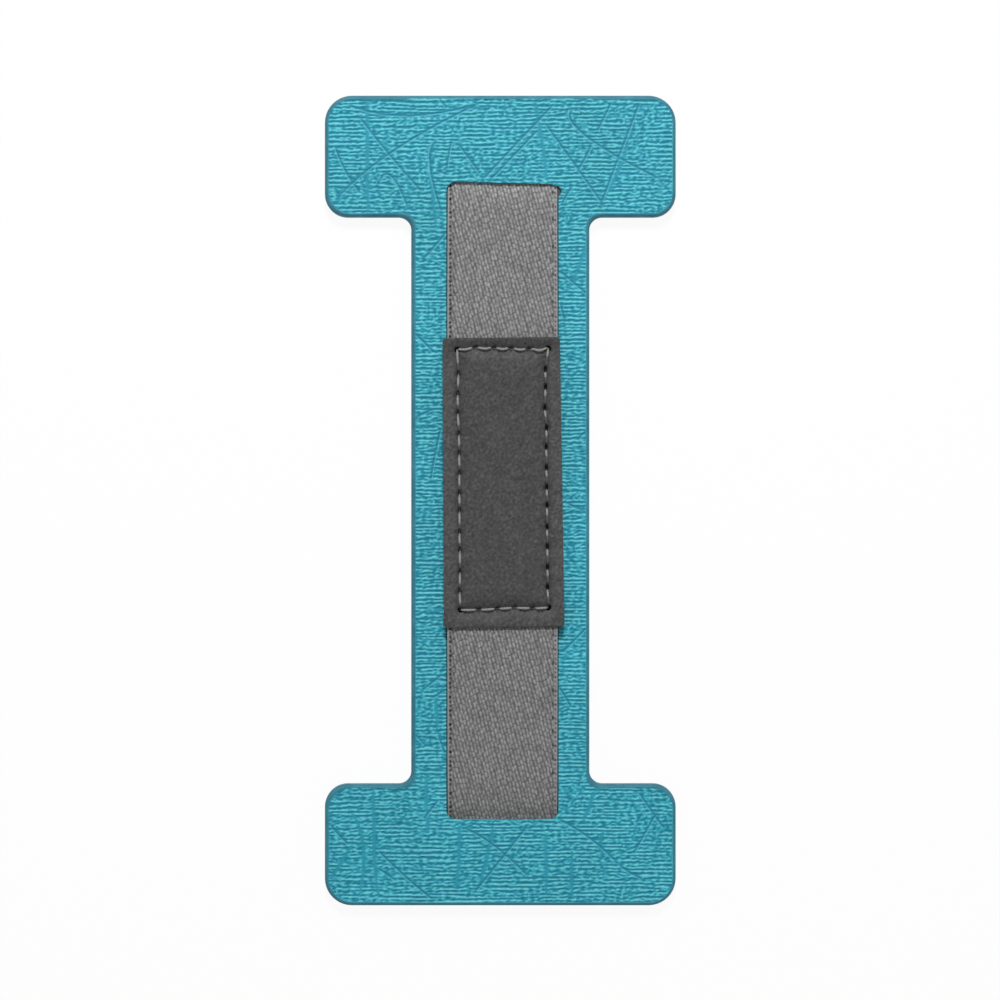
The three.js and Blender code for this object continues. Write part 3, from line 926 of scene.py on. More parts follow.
bpy.ops.mesh.primitive_grid_add(
    x_subdivisions=BAND_COLUMNS, y_subdivisions=len(band_rows) - 1, size=1
)
band = bpy.context.object
band.name = "woven_band"
thicken = band.modifiers.new("thicken", "SOLIDIFY")
thicken.thickness = BAND_THICKNESS
thicken.offset = -1
apply_all(band)

points = places(band)
row = np.rint((points[:, 1] + 0.5) * (len(band_rows) - 1)).astype(int)
band_top_side = points[:, 2] > -BAND_THICKNESS / 2
band_u = points[:, 0] * BAND_WIDTH
points[:, 0] = BAND_CENTRE_X + band_u
points[:, 1] = band_rows[row]
points[:, 2] = band_underside(points[:, 1]) + np.where(band_top_side, BAND_THICKNESS, 0)
put(band, points)
report(band)

# %% [markdown]
# The weave. The yarn runs in narrow stripes that lean to the left as they go up, each broken into
# short dashes. Every dash gets its own height and nudge from seeded dice, because no two loops of a
# real tape lie the same. A height worked out at each vertex lets the yarn follow the bends.

# %% The weave
COLUMN_PITCH = 0.645
DASH_PITCH = 1.0
DASH_LEAN = math.tan(math.radians(15.2))
YARN_HALF_WIDTH = 0.21
YARN_WANDER = 0.11
GAP_DEPTH = 0.75


def weave(u, v):
    """The yarn's height from 0 to 1, at u across from the band's middle and v along, in mm."""
    dice = np.random.default_rng(21)
    starts = dice.uniform(0, 1, 128)
    levels = dice.uniform(0.5, 1.0, (128, 256))
    nudges = dice.uniform(-YARN_WANDER, YARN_WANDER, (128, 256))
    leaning = (u + v * DASH_LEAN) / COLUMN_PITCH
    column = np.rint(leaning).astype(int)
    along = v / DASH_PITCH + starts[column % 128]
    dash = np.rint(along).astype(int)
    place = (column % 128, dash % 256)
    across = (leaning - column) * COLUMN_PITCH - nudges[place]
    gap = 1 - GAP_DEPTH * ramp(0.24, 0.5, np.abs(along - dash))
    return np.exp(-((across / YARN_HALF_WIDTH) ** 2)) * gap * levels[place]


# %% [markdown]
# The rows of holes. Both edges of the tape are knitted, which leaves a small hole at each loop. They
# are counted from the topmost one on each side of the photograph, so that both rows fall in place.

# %% The rows of holes
HOLE_PITCH = 0.853
FIRST_HOLE = 53.24  # both measured upwards from the strap's middle
FIRST_DASH = 51.97


def dots(u, v, place, pitch, radius, strengths, length=1.0):
    """A row of dots along the band at one place across, 1 at each dot's middle."""
    index = np.rint(v / pitch).astype(int)
    across = (u - place) / radius
    along = (v - index * pitch) / (radius * length)
    uneven = np.random.default_rng(22).uniform(0.8, 1.2, 512)[index]
    level = np.array(strengths)[index % len(strengths)] * uneven
    return np.clip(level * np.exp(-(across**2 + along**2)), 0, 1)


def edge_holes(u, v):
    """The left edge has every third hole wider. The right one has a long dash beside every third."""
    half = BAND_WIDTH / MM / 2
    from_first = v - FIRST_HOLE
    left = dots(u, from_first, -half + 0.56, HOLE_PITCH, 0.2, (2.2, 1.0, 1.2))
    left_inner = dots(u, from_first - 0.5, -half + 1.2, HOLE_PITCH * 1.5, 0.2, (0.5, 0.25))
    right = dots(
        u, from_first + 0.6 * (u - half), half - 0.42, HOLE_PITCH, 0.17, (1.1, 1.5, 0.8)
    )
    right_inner = dots(u, v - FIRST_DASH, half - 0.86, HOLE_PITCH * 3, 0.15, (1.0, 0.8), 2.6)
    return np.clip(np.maximum.reduce([left, left_inner, right, right_inner]), 0, 1)


# %% [markdown]
# Laying the weave on the tape. The tape's face is lowered between its yarns and in its holes, and
# a smooth cord is left along each edge, where the corners of the slab are rounded off as well.

# %% The woven face
YARN_DEPTH = 0.15  # these are in mm
HOLE_DEPTH = 0.35
EDGE_REACH = 0.35
EDGE_DROP = 0.3
CORD_WIDTH = 0.5
BEND_REACH = 2.6
CORD_LEVEL = 0.7

u = band_u / MM
v = points[:, 1] / MM
half = BAND_WIDTH / MM / 2
yarn = weave(u, v)
right_cord_wider = np.where(u > 0, 0.25, 0)
cord = ramp(half - CORD_WIDTH, half - EDGE_REACH, np.abs(u) + right_cord_wider)
yarn = yarn * (1 - cord) + CORD_LEVEL * cord
holes = edge_holes(u, v)
selvedge = np.clip((np.abs(u) - half + EDGE_REACH) / EDGE_REACH, 0, 1)
rounded = EDGE_DROP * (1 - np.sqrt(1 - selvedge**2))
drop = YARN_DEPTH * (1 - yarn) + HOLE_DEPTH * holes + rounded
points[:, 2] -= np.where(band_top_side, drop, -rounded) * MM
put(band, points)
write_attribute(band, "yarn", yarn)
write_attribute(band, "hole", holes)
# Painted light and shade for the tape's ends: towards 1 at the upper end, towards 0 at the lower one
from_end = np.clip(BAND_START / MM - np.abs(v), 0, 99)
write_attribute(band, "painted_end_light_and_shade", 0.5 + 0.5 * np.sign(v) * np.exp(-from_end / BEND_REACH))
smooth(band, 70)
print("Share of the band that is holes:", round(float((holes > 0.5).mean()), 4))

# %% [markdown]
# Grey elastic. Its yarn is matte and a little fuzzy. The colour goes with the yarn's height: pale on
# its crests and dark in between, which is partly the yarn's own grey and partly painted highlight on
# the crests and painted shade between the yarns. Fine noise stands for the fibres. The holes are
# painted nearly black, as painted shade. The tape's upper end is painted lighter and its lower end
# darker, as painted light and shade where it bends towards the light and away from it. A fixed
# attribute along the tape says where that is.

# %% Grey elastic


def grey_elastic():
    material, tree, shader = material_nodes("grey_elastic")
    # Partly the yarn's grey, partly painted highlight on its crests and painted shade between the
    # yarns
    yarn_grey_and_painted_light = colour_ramp(
        tree, attribute(tree, "yarn"),
        (0.0, colour(88, 88, 88)),
        (0.45, colour(133, 133, 133)),
        (1.0, colour(167, 167, 167)),
    )
    fibres = noise(tree, scaled_object(tree, (4500, 2200, 4500)), 1.0, detail=3.0)
    shade = colour_ramp(tree, fibres, (0.3, grey(0.74)), (0.7, grey(1.2)))
    plain = mix_colours(tree, 1.0, yarn_grey_and_painted_light, shade, "MULTIPLY")
    # Painted light and shade: the upper end lighter, the lower end darker
    bend = colour_ramp(
        tree, attribute(tree, "painted_end_light_and_shade"),
        (0.0, grey(0.8)), (0.5, grey(1)), (1.0, grey(1.28)),
    )
    plain = mix_colours(tree, 1.0, plain, bend, "MULTIPLY")
    # Painted shade: the holes are painted nearly black
    with_painted_hole_shade = mix_colours(tree, attribute(tree, "hole"), plain, colour(8, 8, 9))
    tree.links.new(with_painted_hole_shade, shader.inputs["Base Color"])
    fuzz = colour_ramp(tree, fibres, (0.2, grey(0.95)), (0.8, grey(0.75)))
    tree.links.new(fuzz, shader.inputs["Roughness"])
    shader.inputs["Specular IOR Level"].default_value = 0.15
    bump(tree, shader, fibres, 0.5, 0.00006)
    return material


finish_piece(band, grey_elastic(), "elastic_band", "grey_elastic")

# %% [markdown]
# The seam. The holes are listed as they are spaced in the photograph, because hand-fed sewing is
# never quite even. They run clockwise from the top left corner, and the thread turns at each corner.

# %% The seam's holes
HOLES = np.array([
    # Upper end, left to right
    (-7.94, 27.75), (-4.65, 28.1), (-1.19, 28.02), (1.98, 27.93), (5.2, 27.8), (8.86, 28.0),
    # Right side, downwards
    (8.29, 24.1), (8.34, 20.85), (8.2, 17.03), (8.51, 13.35), (8.47, 9.8), (8.5, 6.0),
    (8.55, 2.43), (8.6, -0.97), (8.62, -4.95), (8.66, -8.55), (8.7, -12.33), (8.7, -15.98),
    # Lower end, right to left
    (8.88, -19.73), (5.95, -19.87), (2.6, -19.76), (-0.58, -19.95), (-3.97, -20.15), (-7.35, -20.15),
    # Left side, upwards
    (-7.48, -16.82), (-7.41, -13.23), (-7.45, -9.24), (-7.5, -5.96), (-7.5, -1.97), (-7.5, 1.23),
    (-7.52, 4.87), (-7.55, 8.56), (-7.59, 12.14), (-7.81, 16.04), (-7.83, 19.54), (-7.7, 23.2),
])
CORNERS = (0, 5, 18, 23)
print("Needle holes:", len(HOLES))


def unit(vector):
    return vector / np.hypot(vector[0], vector[1])


def hole_ways(i):
    """The seam's direction into a hole and out of it."""
    before, here, after = HOLES[i - 1], HOLES[i], HOLES[(i + 1) % len(HOLES)]
    return unit(here - before), unit(after - here)


def seam_distance(x, y):
    """Distance in mm from the seam's line, and from the nearest hole."""
    line = np.full(x.shape, np.inf)
    hole = np.full(x.shape, np.inf)
    for i in range(len(HOLES)):
        a = HOLES[i]
        step = HOLES[(i + 1) % len(HOLES)] - a
        t = np.clip(((x - a[0]) * step[0] + (y - a[1]) * step[1]) / (step @ step), 0, 1)
        line = np.minimum(line, np.hypot(x - a[0] - t * step[0], y - a[1] - t * step[1]))
        hole = np.minimum(hole, np.hypot(x - a[0], y - a[1]))
    return line, hole


# %% [markdown]
# The needle leaves a slit wherever it went down. All of the slits are made as one tool: a block for
# each, turned along the seam, with its ends bevelled to points. It cuts leather and band alike.

# %% The needle's slits
SLIT = (0.9, 0.27)  # how far it reaches along the seam and to each side, in mm
CORNER_SLIT = (0.6, 0.5)
NOTCH = (0.6, 0.28)
NOTCH_TURN = math.radians(50)
NOTCH_SHIFT = (0.05, 0.14)


def slit_places():
    """Each slit as x, y, turn, reach along and reach to the side."""
    slits = []
    for i, (x, y) in enumerate(HOLES):
        way_in, way_out = hole_ways(i)
        way = way_in + way_out
        slits.append((x, y, math.atan2(way[1], way[0]), *(CORNER_SLIT if i in CORNERS else SLIT)))
    return slits


def notch_places():
    """On the two ends the needle also tore the leather's face aslant."""
    rows = [i for i in (*range(0, 6), *range(18, 24)) if i not in CORNERS]
    shift_x, shift_y = NOTCH_SHIFT
    return [(HOLES[i][0] + shift_x, HOLES[i][1] + shift_y, NOTCH_TURN, *NOTCH) for i in rows]


def needle_tool(slits, bottom, top):
    blocks = []
    for x, y, turn, along, aside in slits:
        bpy.ops.mesh.primitive_cylinder_add(
            vertices=8, radius=1, depth=top - bottom,
            location=(x * MM, y * MM, (top + bottom) / 2), rotation=(0, 0, turn),
        )
        block = bpy.context.object
        block.scale = (along * MM, aside * MM, 1)
        fix_place(block)
        blocks.append(block)
    bpy.ops.object.select_all(action="DESELECT")
    for block in blocks:
        block.select_set(True)
    bpy.context.view_layer.objects.active = blocks[0]
    bpy.ops.object.join()
    return bpy.context.object


cut(band, needle_tool(slit_places(), rear_high.z - MM, grip_low.z + MM))
report(band)

# %% [markdown]
# The grip. Two pieces of soft grey leather with a brushed face, one on each side of the band. The
# front one is cut from a thickened grid with a rounded box, made narrower towards its upper end, and
# turned a little, as it was sewn on. Then the needle's slits go through it.

# %% The grip's cut
GRIP_CELL = 0.22 * MM
LEATHER = grip_high.z - grip_low.z
GRIP_CORNER_RADIUS = 0.6 * MM
NOTCH_DEPTH = 0.5 * MM
TAPER = 0.027  # how much narrower its upper end was cut
TAPER_SHIFT = 0.1 * MM
bpy.ops.mesh.primitive_grid_add(
    x_subdivisions=round(GRIP_WIDTH / GRIP_CELL), y_subdivisions=round(GRIP_LENGTH / GRIP_CELL),
    size=1, location=(0, 0, grip_high.z),
)
grip = bpy.context.object
grip.name = "front_grip"
grip.scale = (GRIP_WIDTH, GRIP_LENGTH, 1)
fix_place(grip)
thicken = grip.modifiers.new("thicken", "SOLIDIFY")
thicken.thickness = LEATHER
thicken.offset = -1
apply_all(grip)
grip_form = rounded_box(
    "grip_form", (0, 0, grip_high.z), (GRIP_WIDTH, GRIP_LENGTH, TOOL_DEPTH), GRIP_CORNER_RADIUS
)
cut(grip, grip_form, "INTERSECT")
points = places(grip)
upward_share = 0.5 + points[:, 1] / GRIP_LENGTH
points[:, 0] = points[:, 0] * (1 - TAPER * upward_share) + TAPER_SHIFT * upward_share
put(grip, points)
edit(grip)
bpy.ops.mesh.select_all(action="SELECT")
bpy.ops.transform.rotate(
    value=-GRIP_TILT, orient_axis="Z", center_override=(0, 0, 0), orient_type="GLOBAL"
)
bpy.ops.transform.translate(value=(GRIP_CENTRE_X, GRIP_CENTRE_Y, 0))
leave_edit()
cut(grip, needle_tool(slit_places(), grip_low.z - MM, grip_high.z + MM))
cut(grip, needle_tool(notch_places(), grip_high.z - NOTCH_DEPTH, grip_high.z + MM))
report(grip)

# %% [markdown]
# The grip's face. The thread pulls the leather down along the seam, so the middle stands up a little
# as a cushion and the cut edges lift. Two more patterns of noise make the leather's soft unevenness
# and its nap. Where the surface is turned up towards the light, its colour is painted paler, and
# where
# it is turned away, darker: painted light and shade.

# %% The grip's face
VALLEY = 0.22  # all in mm
GROOVE = 0.07
DIMPLE = 0.1
CUT_EDGE = 0.25
CUT_EDGE_DROP = 0.16
SOFT_DEPTH = 0.03
NAP_DEPTH = 0.016
SLOPE_STEP = 0.3


def grip_local(points):
    """The places in the grip's own frame, in mm, with its taper taken out."""
    dx = points[:, 0] - GRIP_CENTRE_X
    dy = points[:, 1] - GRIP_CENTRE_Y
    c, s = math.cos(GRIP_TILT), math.sin(GRIP_TILT)
    local_x, local_y = dx * c + dy * s, dy * c - dx * s
    share = 0.5 + local_y / GRIP_LENGTH
    return (local_x - TAPER_SHIFT * share) / (1 - TAPER * share) / MM, local_y / MM


def pulled_down(x, y):
    """How far the thread pulls the leather down, in mm."""
    line, hole = seam_distance(x, y)
    return (
        VALLEY * np.exp(-((line / 1.5) ** 2))
        + GROOVE * np.exp(-((line / 0.4) ** 2))
        + DIMPLE * np.exp(-((hole / 0.45) ** 2))
    )


GRIP_LATTICE = (0.22, 0.22)
grip_counts = (110, 250)
corner = (-GRIP_LATTICE[0] * grip_counts[0] / 2, -GRIP_LATTICE[1] * grip_counts[1] / 2)
soft_noise = filtered_noise(
    41, grip_counts, GRIP_LATTICE, lambda a, b: np.exp(-0.5 * (np.hypot(a, b) * 2.2) ** 2)
)
nap_noise = filtered_noise(
    42, grip_counts, GRIP_LATTICE, lambda a, b: np.exp(-0.5 * ((np.hypot(a, b) - 1.1) / 0.5) ** 2)
)

points = places(grip)
gx, gy = grip_local(points)
on_top = points[:, 2] > grip_high.z - 1e-6
x_mm = points[:, 0] / MM
y_mm = points[:, 1] / MM
_, hole = seam_distance(x_mm, y_mm)
from_edge = np.minimum(GRIP_WIDTH / MM / 2 - np.abs(gx), GRIP_LENGTH / MM / 2 - np.abs(gy))
edge = CUT_EDGE_DROP * (1 - np.sqrt(1 - np.clip(1 - from_edge / CUT_EDGE, 0, 1) ** 2))
valley = pulled_down(x_mm, y_mm)
above = pulled_down(x_mm, y_mm + SLOPE_STEP)
below = pulled_down(x_mm, y_mm - SLOPE_STEP)
slope_for_painted_light = (above - below) / (2 * SLOPE_STEP)
soft = read_lattice(soft_noise, GRIP_LATTICE, corner, gx, gy)
nap = read_lattice(nap_noise, GRIP_LATTICE, corner, gx, gy)
uneven = SOFT_DEPTH * np.clip(1 - soft, 0, 3) + NAP_DEPTH * np.clip(1.5 - nap, 0, 3)
lowered = valley + edge + uneven
points[:, 2] -= np.where(on_top, lowered, 0) * MM
put(grip, points)
# Outside the seam's long sides the leather is made a little paler
side_margin = ramp(8.6, 9.4, np.abs(gx)) * (1 - ramp(22.5, 24.5, np.abs(gy)))
# The slope's share is painted light and shade: paler facing the light, darker facing away
nap_and_painted_slope_light = 0.5 + 0.12 * nap + 0.04 * soft + 1.5 * np.clip(slope_for_painted_light, -0.2, 0.2) + 0.09 * side_margin
write_attribute(grip, "nap", np.clip(nap_and_painted_slope_light, 0, 1))
# Painted shade round the needle's holes
write_attribute(grip, "painted_pit_shade", np.exp(-((hole / 0.6) ** 2)))
smooth(grip, 50)
print("Deepest place of the seam:", round(float(valley.max()), 3), "mm")

# %% [markdown]
# The grip's suede. A brushed face has short fibres that lean here one way and there another, which
# shows as soft clouds of lighter and darker grey. The colour reads the nap, with its painted light
# and shade, and fine noise makes the fibres. The leather is painted dark round the needle's holes, as
# painted shade. The rear piece is a copy that faces down.

# %% Grip suede


def grip_suede():
    material, tree, shader = material_nodes("grip_suede")
    # The nap's colour, with the painted light and shade from the surface's slope
    nap_and_painted_light_colour = colour_ramp(
        tree, attribute(tree, "nap"),
        (0.0, colour(44, 44, 44)),
        (0.5, colour(71, 71, 71)),
        (1.0, colour(100, 100, 100)),
    )
    grain = noise(tree, scaled_object(tree, (3000, 3000, 3000)), 1.0, detail=4.0)
    shade = colour_ramp(tree, grain, (0.35, grey(0.82)), (0.65, grey(1.14)))
    plain = mix_colours(tree, 1.0, nap_and_painted_light_colour, shade, "MULTIPLY")
    # Painted shade: darker round the needle's holes
    dark = number(tree, "MULTIPLY", attribute(tree, "painted_pit_shade"), 0.75)
    tree.links.new(mix_colours(tree, dark, plain, colour(24, 24, 24)), shader.inputs["Base Color"])
    rough = colour_ramp(tree, grain, (0.3, grey(0.95)), (0.7, grey(0.78)))
    tree.links.new(rough, shader.inputs["Roughness"])
    shader.inputs["Specular IOR Level"].default_value = 0.2
    bump(tree, shader, grain, 0.5, 0.00008)
    return material


BAND_MIDDLE = (grip_low.z + rear_high.z) / 2


def mirrored_copy(piece, name):
    """A copy of a front piece, mirrored in the band's middle so that it faces down."""
    pick(piece)
    bpy.ops.object.duplicate()
    copy = bpy.context.object
    copy.name = name
    edit(copy)
    bpy.ops.mesh.select_all(action="SELECT")
    bpy.ops.transform.resize(value=(1, 1, -1), center_override=(0, 0, BAND_MIDDLE))
    bpy.ops.mesh.flip_normals()
    leave_edit()
    return copy


rear = mirrored_copy(grip, "rear_grip")
suede = grip_suede()
for piece, solid in ((grip, "grip_front_leather"), (rear, "grip_rear_leather")):
    finish_piece(piece, suede, solid, "grip_suede")

# %% [markdown]
# The sewing thread's way. One thread goes round the seam: up out of a hole, over the leather with its
# crown a little past the middle, and down into the next hole. Each stitch is laid out as stations,
# and one smooth curve runs through all of them, as a tight thread does.

# %% The thread's way
THREAD_RADIUS = 0.225
LEG_SPREAD = 0.62  # how far inside its holes a stitch comes up and goes down
CORNER_SPREAD = 0.3
THREAD_STEP = 0.13
UPPER_STITCHES = 5
UPPER_SAG = 0.12
LOOSE_LIFT = 0.15
CROWN_RISE = 0.255  # of the thread's middle above the leather
thread_crown = grip_high.z / MM + CROWN_RISE
thread_foot = BAND_MIDDLE / MM + THREAD_RADIUS + 0.05
DONE_COLUMN = 5  # the line's columns are x, y, z, across x, across y, done and stitch
STITCH_COLUMN = 6


def thread_line():
    """Points of the front thread's centre line, with how far each stitch has gone, 0 to 1."""
    track = []
    for i in range(len(HOLES)):
        after = (i + 1) % len(HOLES)
        way = unit(HOLES[after] - HOLES[i])
        start = HOLES[i] + way * (CORNER_SPREAD if i in CORNERS else LEG_SPREAD)
        end = HOLES[after] - way * (CORNER_SPREAD if after in CORNERS else LEG_SPREAD)
        # The upper end's stitches hang a little below their holes, and its last one is loose
        loose = i == UPPER_STITCHES - 1
        sag = np.array([0, -UPPER_SAG if i < UPPER_STITCHES else 0]) * (2 if loose else 1)
        crown = thread_crown + (LOOSE_LIFT if loose else 0)
        low = grip_high.z / MM - VALLEY
        stations = (
            (start, thread_foot + 0.3, 0.0),
            (start, low - 0.3, 0.0),
            (start * 0.9 + end * 0.1, low + THREAD_RADIUS, 0.1),
            (start * 0.6 + end * 0.4 + sag, crown, 0.4),
            (start * 0.3 + end * 0.7 + sag, crown - 0.06, 0.7),
            (start * 0.08 + end * 0.92, low + THREAD_RADIUS - 0.05, 0.92),
            (end, low - 0.3, 1.0),
            (end, thread_foot + 0.3, 1.0),
            (HOLES[after], thread_foot, 1.0),
        )
        for place, z, done in stations:
            across = (-way[1], way[0])
            if place is HOLES[after]:
                next_way = unit(HOLES[(after + 1) % len(HOLES)] - HOLES[after])
                turned = unit(way + next_way)
                across = (-turned[1], turned[0])
            track.append((place[0], place[1], z, across[0], across[1], done, i))
    return np.array(track)


def even_steps(track, step):
    """The closed track as a smooth curve, with points an even step apart."""
    count = len(track)
    dense = []
    for i in range(count):
        p0, p1, p2, p3 = (track[(i + k) % count] for k in (-1, 0, 1, 2))
        for t in np.linspace(0, 1, 12, endpoint=False):
            point = 0.5 * (
                2 * p1 + (p2 - p0) * t + (2 * p0 - 5 * p1 + 4 * p2 - p3) * t * t
                + (3 * p1 - p0 - 3 * p2 + p3) * t**3
            )
            done_here, done_next = p1[DONE_COLUMN], p2[DONE_COLUMN]
            point[DONE_COLUMN] = done_here + max(done_next - done_here, 0) * t
            point[STITCH_COLUMN] = p1[STITCH_COLUMN]
            dense.append(point)
    dense = np.array(dense)
    closed = np.vstack([dense, dense[:1]])
    lengths = np.linalg.norm(np.diff(closed[:, :3], axis=0), axis=1)
    reached = np.concatenate([[0], np.cumsum(lengths)])
    total = round(reached[-1] / step)
    targets = np.arange(total) * reached[-1] / total
    even = np.stack([np.interp(targets, reached, column) for column in closed.T], axis=1)
    return even, targets, reached[-1]


line_points, reached, whole = even_steps(thread_line(), THREAD_STEP)
print("Front thread:", round(float(whole), 1), "mm along its line")

# %% [markdown]
# Three plies are twisted round that line, each a round curve that is turned into a mesh. The twist
# is what makes it look like sewing thread from close by, and it comes out even where the ends meet.

# %% The twisted plies
PLIES = 3
PLY_RADIUS = 0.118
LAY_LENGTH = 1.5  # of thread for each turn of the plies
centre = line_points[:, :3]
tangent = np.roll(centre, -1, 0) - np.roll(centre, 1, 0)
tangent /= np.linalg.norm(tangent, axis=1)[:, None]
across = np.column_stack([line_points[:, 3:5], np.zeros(len(centre))])
across -= (across * tangent).sum(1)[:, None] * tangent
across /= np.linalg.norm(across, axis=1)[:, None]
upward = np.cross(tangent, across)
turns = round(whole / LAY_LENGTH)

curve = bpy.data.curves.new("front_thread", "CURVE")
curve.dimensions = "3D"
curve.bevel_depth = PLY_RADIUS * MM
curve.bevel_resolution = 1
for ply in range(PLIES):
    angle = 2 * math.pi * (turns * reached / whole + ply / PLIES)
    offset = across * np.cos(angle)[:, None] + upward * np.sin(angle)[:, None]
    ply_points = (centre + offset * (THREAD_RADIUS - PLY_RADIUS)) * MM
    spline = curve.splines.new("POLY")
    spline.points.add(len(ply_points) - 1)
    spline.points.foreach_set(
        "co", np.column_stack([ply_points, np.ones(len(ply_points))]).ravel()
    )
    spline.use_cyclic_u = True
thread = bpy.data.objects.new("front_thread", curve)
bpy.context.scene.collection.objects.link(thread)
pick(thread)
bpy.ops.object.convert(target="MESH")
thread = bpy.context.object
edit(thread)
bpy.ops.mesh.select_all(action="SELECT")
bpy.ops.mesh.normals_make_consistent(inside=False)
leave_edit()
report(thread)

# %% [markdown]
# On the long sides the lower end of each stitch sinks into the leather's nap, so that only its upper
# part shows bright; the sunk part is painted the leather's grey, for the leather over it and for the
# shade there. Each vertex takes its cover from the nearest point of the thread's line. Near a hole
# the covered part is painted near black, as painted shade.

# %% What the nap covers
AT_A_TIME = 4000
_, RIGHT_FIRST, LOWER_FIRST, LEFT_FIRST = CORNERS
stitch = line_points[:, STITCH_COLUMN]
going_down = (stitch >= RIGHT_FIRST) & (stitch < LOWER_FIRST)
side_stitch = going_down | (stitch >= LEFT_FIRST)
done = line_points[:, DONE_COLUMN]
done = np.where(going_down, done, 1 - done)
open_part = np.where(going_down, 0.36, 0.56)
covered = np.where(side_stitch, ramp(open_part - 0.08, open_part + 0.12, done), 0)
points = places(thread) / MM
cover = np.zeros(len(points))
for first in range(0, len(points), AT_A_TIME):
    block = points[first:first + AT_A_TIME]
    gaps = ((block[:, None, :] - centre[None, :, :]) ** 2).sum(2)
    cover[first:first + AT_A_TIME] = covered[gaps.argmin(1)]
write_attribute(thread, "covered", cover)
# Painted shade: near a hole the covered part goes near black
_, from_hole = seam_distance(points[:, 0], points[:, 1])
write_attribute(thread, "painted_hole_shade_on_thread", cover * (1 - ramp(0.7, 0.95, from_hole)))
smooth(thread, 80)
print("Share of the thread under the nap:", round(float(cover.mean()), 2))

# %% [markdown]
# Pale thread. It is plain grey-white polyester with fine fibres, and is painted the leather's grey
# where it sinks under the nap, partly for the leather over it and partly as painted shade, and near
# black by the holes as painted shade. The rear thread is a mirrored copy, as the seam is the same
# behind.

# %% Pale thread


def pale_thread():
    material, tree, shader = material_nodes("pale_thread")
    fibres = noise(tree, scaled_object(tree, (9000, 9000, 9000)), 1.0, detail=2.0)
    strand = colour_ramp(
        tree, fibres, (0.3, colour(116, 116, 115)), (0.7, colour(158, 158, 156))
    )
    # The covered part is painted the leather's grey, partly for the leather over it and partly as
    # painted shade; near the holes, near black as painted shade
    covered_and_painted_shade = number(tree, "MULTIPLY", attribute(tree, "covered"), 0.93)
    seen = mix_colours(tree, covered_and_painted_shade, strand, colour(70, 70, 70))
    seen = mix_colours(tree, attribute(tree, "painted_hole_shade_on_thread"), seen, colour(10, 10, 10))
    tree.links.new(seen, shader.inputs["Base Color"])
    rough = colour_ramp(tree, fibres, (0.3, grey(0.8)), (0.7, grey(0.6)))
    tree.links.new(rough, shader.inputs["Roughness"])
    bump(tree, shader, fibres, 0.4, 0.00003)
    return material


rear_thread = mirrored_copy(thread, "rear_thread")
polyester = pale_thread()
for piece, solid in ((thread, "front_seam_thread"), (rear_thread, "rear_seam_thread")):
    finish_piece(piece, polyester, solid, "pale_thread")

# %% [markdown]
# What is behind. The board is grey pulp board, and its edge shows in the nick beside the band. The
# lining is a dark leather-like sheet. The adhesive pads are pale foam, under coated paper liners.
# These are flat sheets, so their solids keep their shape and only get a material: a matte one with
# the colours, grain size, roughness and grain depth of each.

# %% Board, lining, foam and paper


def plain_material(name, dark, light, scale, roughness, grain_depth):
    """A matte material with a fine grain in its colour, roughness and height."""
    material, tree, shader = material_nodes(name)
    grain = noise(tree, scaled_object(tree, scale), 1.0, detail=5.0, roughness=0.6)
    tree.links.new(
        colour_ramp(tree, grain, (0.3, dark), (0.7, light)), shader.inputs["Base Color"]
    )
    low, high = roughness
    rough = colour_ramp(tree, grain, (0.3, grey(low)), (0.7, grey(high)))
    tree.links.new(rough, shader.inputs["Roughness"])
    bump(tree, shader, grain, 0.6, grain_depth)
    return material


BACK_MATERIALS = {
    "core_board": plain_material(
        "board", colour(62, 60, 60), colour(88, 85, 84), (1600, 500, 1600), (0.8, 0.95), 0.00008
    ),
    "backing_sheet": plain_material(
        "dark_lining", colour(32, 33, 36), colour(52, 53, 56), (1500, 1500, 1500), (0.6, 0.8), 0.00012
    ),
    "adhesive_pad_upper": plain_material(
        "adhesive_foam", colour(208, 208, 202), colour(228, 228, 222), (2500, 2500, 2500),
        (0.8, 0.95), 0.00008,
    ),
    "release_liner_upper": plain_material(
        "liner_paper", colour(226, 221, 204), colour(240, 236, 220), (700, 2200, 700),
        (0.35, 0.5), 0.00003,
    ),
}
BACK_MATERIALS["adhesive_pad_lower"] = BACK_MATERIALS["adhesive_pad_upper"]
BACK_MATERIALS["release_liner_lower"] = BACK_MATERIALS["release_liner_upper"]
for name, material in BACK_MATERIALS.items():
    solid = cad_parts[name]
    solid.data.materials.clear()
    solid.data.materials.append(material)
    print(name, "in", material.name)

# %% [markdown]
# The floor is a plain white sheet that keeps the strap's soft shadow. A glow that only the camera and
# reflections see brings it up to the photograph's white, and adds no light to the strap.

# %% Floor
FLOOR_GAP = 0.05 * MM  # so that no face of the liners lies in the floor's own plane
bpy.ops.mesh.primitive_plane_add(size=4, location=(0, 0, -FLOOR_GAP))
floor = bpy.context.object
floor.name = "floor"
fix_place(floor)
FLOOR_GLOW = 0.93


def seen_directly(tree):
    """1 for what the camera sees, also in a mirror or through glass."""
    path = node(tree, "ShaderNodeLightPath")
    either = number(tree, "MAXIMUM", path.outputs["Is Camera Ray"], path.outputs["Is Glossy Ray"])
    return number(tree, "MAXIMUM", either, path.outputs["Is Transmission Ray"])


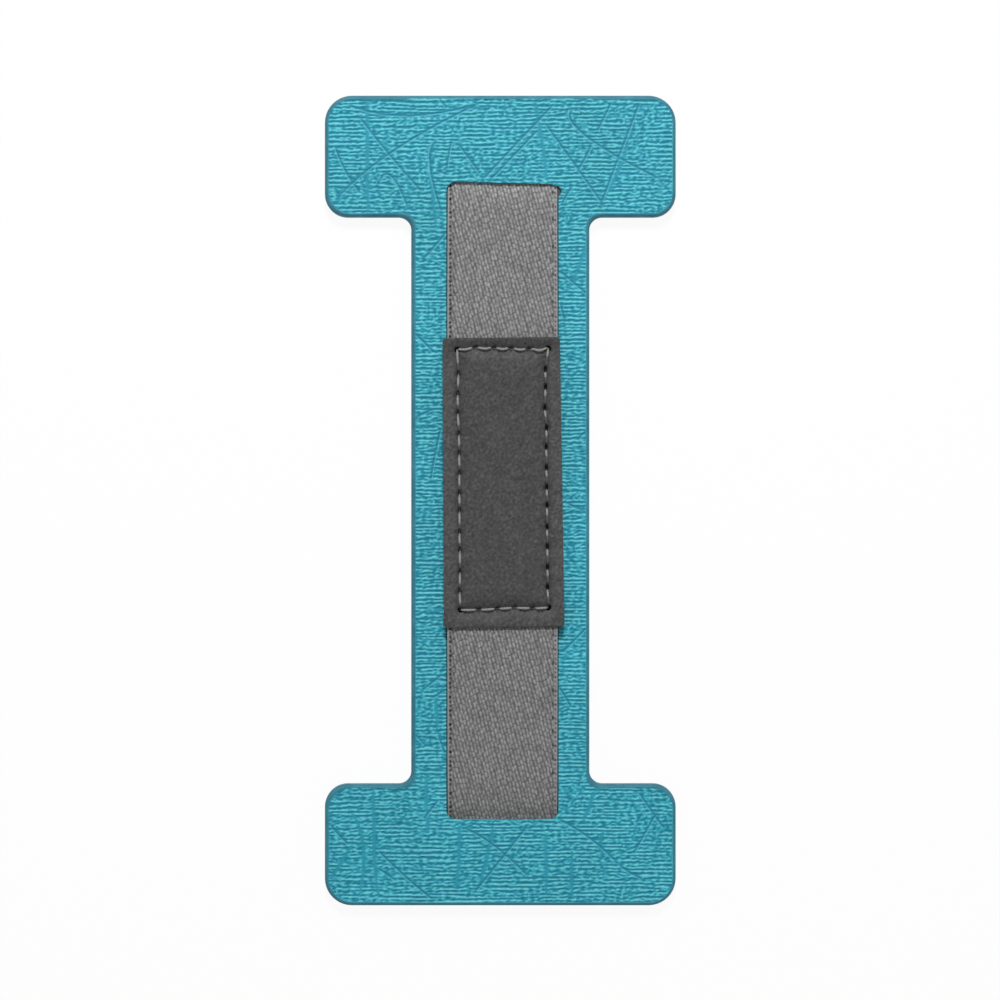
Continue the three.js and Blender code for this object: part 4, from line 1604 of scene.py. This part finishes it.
def white_floor():
    material, tree, shader = material_nodes("white_floor")
    shader.inputs["Base Color"].default_value = grey(0.9)
    shader.inputs["Roughness"].default_value = 0.9
    shader.inputs["Specular IOR Level"].default_value = 0
    glow = node(tree, "ShaderNodeEmission", Strength=1.0)
    share = number(tree, "MULTIPLY", seen_directly(tree), FLOOR_GLOW)
    both = tree.nodes.new("ShaderNodeMixShader")
    tree.links.new(share, both.inputs[0])
    tree.links.new(shader.outputs[0], both.inputs[1])
    tree.links.new(glow.outputs[0], both.inputs[2])
    tree.links.new(both.outputs[0], tree.nodes["Material Output"].inputs["Surface"])
    return material


floor.data.materials.append(white_floor())
print("Floor at", round(-FLOOR_GAP / MM, 3), "mm")

# %% [markdown]
# The light. The photograph's main light comes from the top of the picture and half high, as each
# raised line has a bright upper side and a dark lower one. A small square lamp does that, and an
# even white sky fills the rest. What the camera sees of the sky is full white, as in a studio.

# %% Light
SKY_STRENGTH = 0.42
KEY_SIZE = 0.14
KEY_DISTANCE = 0.8
KEY_ELEVATION = math.radians(51)
KEY_TURN = math.radians(1.5)  # from the picture's top towards its right
KEY_POWER = 4.8

world = bpy.data.worlds.new("sky")
bpy.context.scene.world = world
world.use_nodes = True
sky_tree = world.node_tree
sky = sky_tree.nodes["Background"]
sky.inputs["Strength"].default_value = SKY_STRENGTH
sky.inputs["Color"].default_value = grey(1)
backdrop = node(sky_tree, "ShaderNodeBackground", Strength=1.0)
backdrop.inputs["Color"].default_value = grey(1)
sky_mix = sky_tree.nodes.new("ShaderNodeMixShader")
sky_tree.links.new(seen_directly(sky_tree), sky_mix.inputs[0])
sky_tree.links.new(sky.outputs[0], sky_mix.inputs[1])
sky_tree.links.new(backdrop.outputs[0], sky_mix.inputs[2])
sky_tree.links.new(sky_mix.outputs[0], sky_tree.nodes["World Output"].inputs["Surface"])

lamp = bpy.data.lights.new("key", "AREA")
lamp.energy = KEY_POWER
lamp.size = KEY_SIZE
key = bpy.data.objects.new("key", lamp)
key.location = (
    KEY_DISTANCE * math.cos(KEY_ELEVATION) * math.sin(KEY_TURN),
    KEY_DISTANCE * math.cos(KEY_ELEVATION) * math.cos(KEY_TURN),
    KEY_DISTANCE * math.sin(KEY_ELEVATION),
)
key.rotation_euler = (-(math.pi / 2 - KEY_ELEVATION), 0, -KEY_TURN)
bpy.context.scene.collection.objects.link(key)
print("Lamp at", [round(value, 3) for value in key.location])
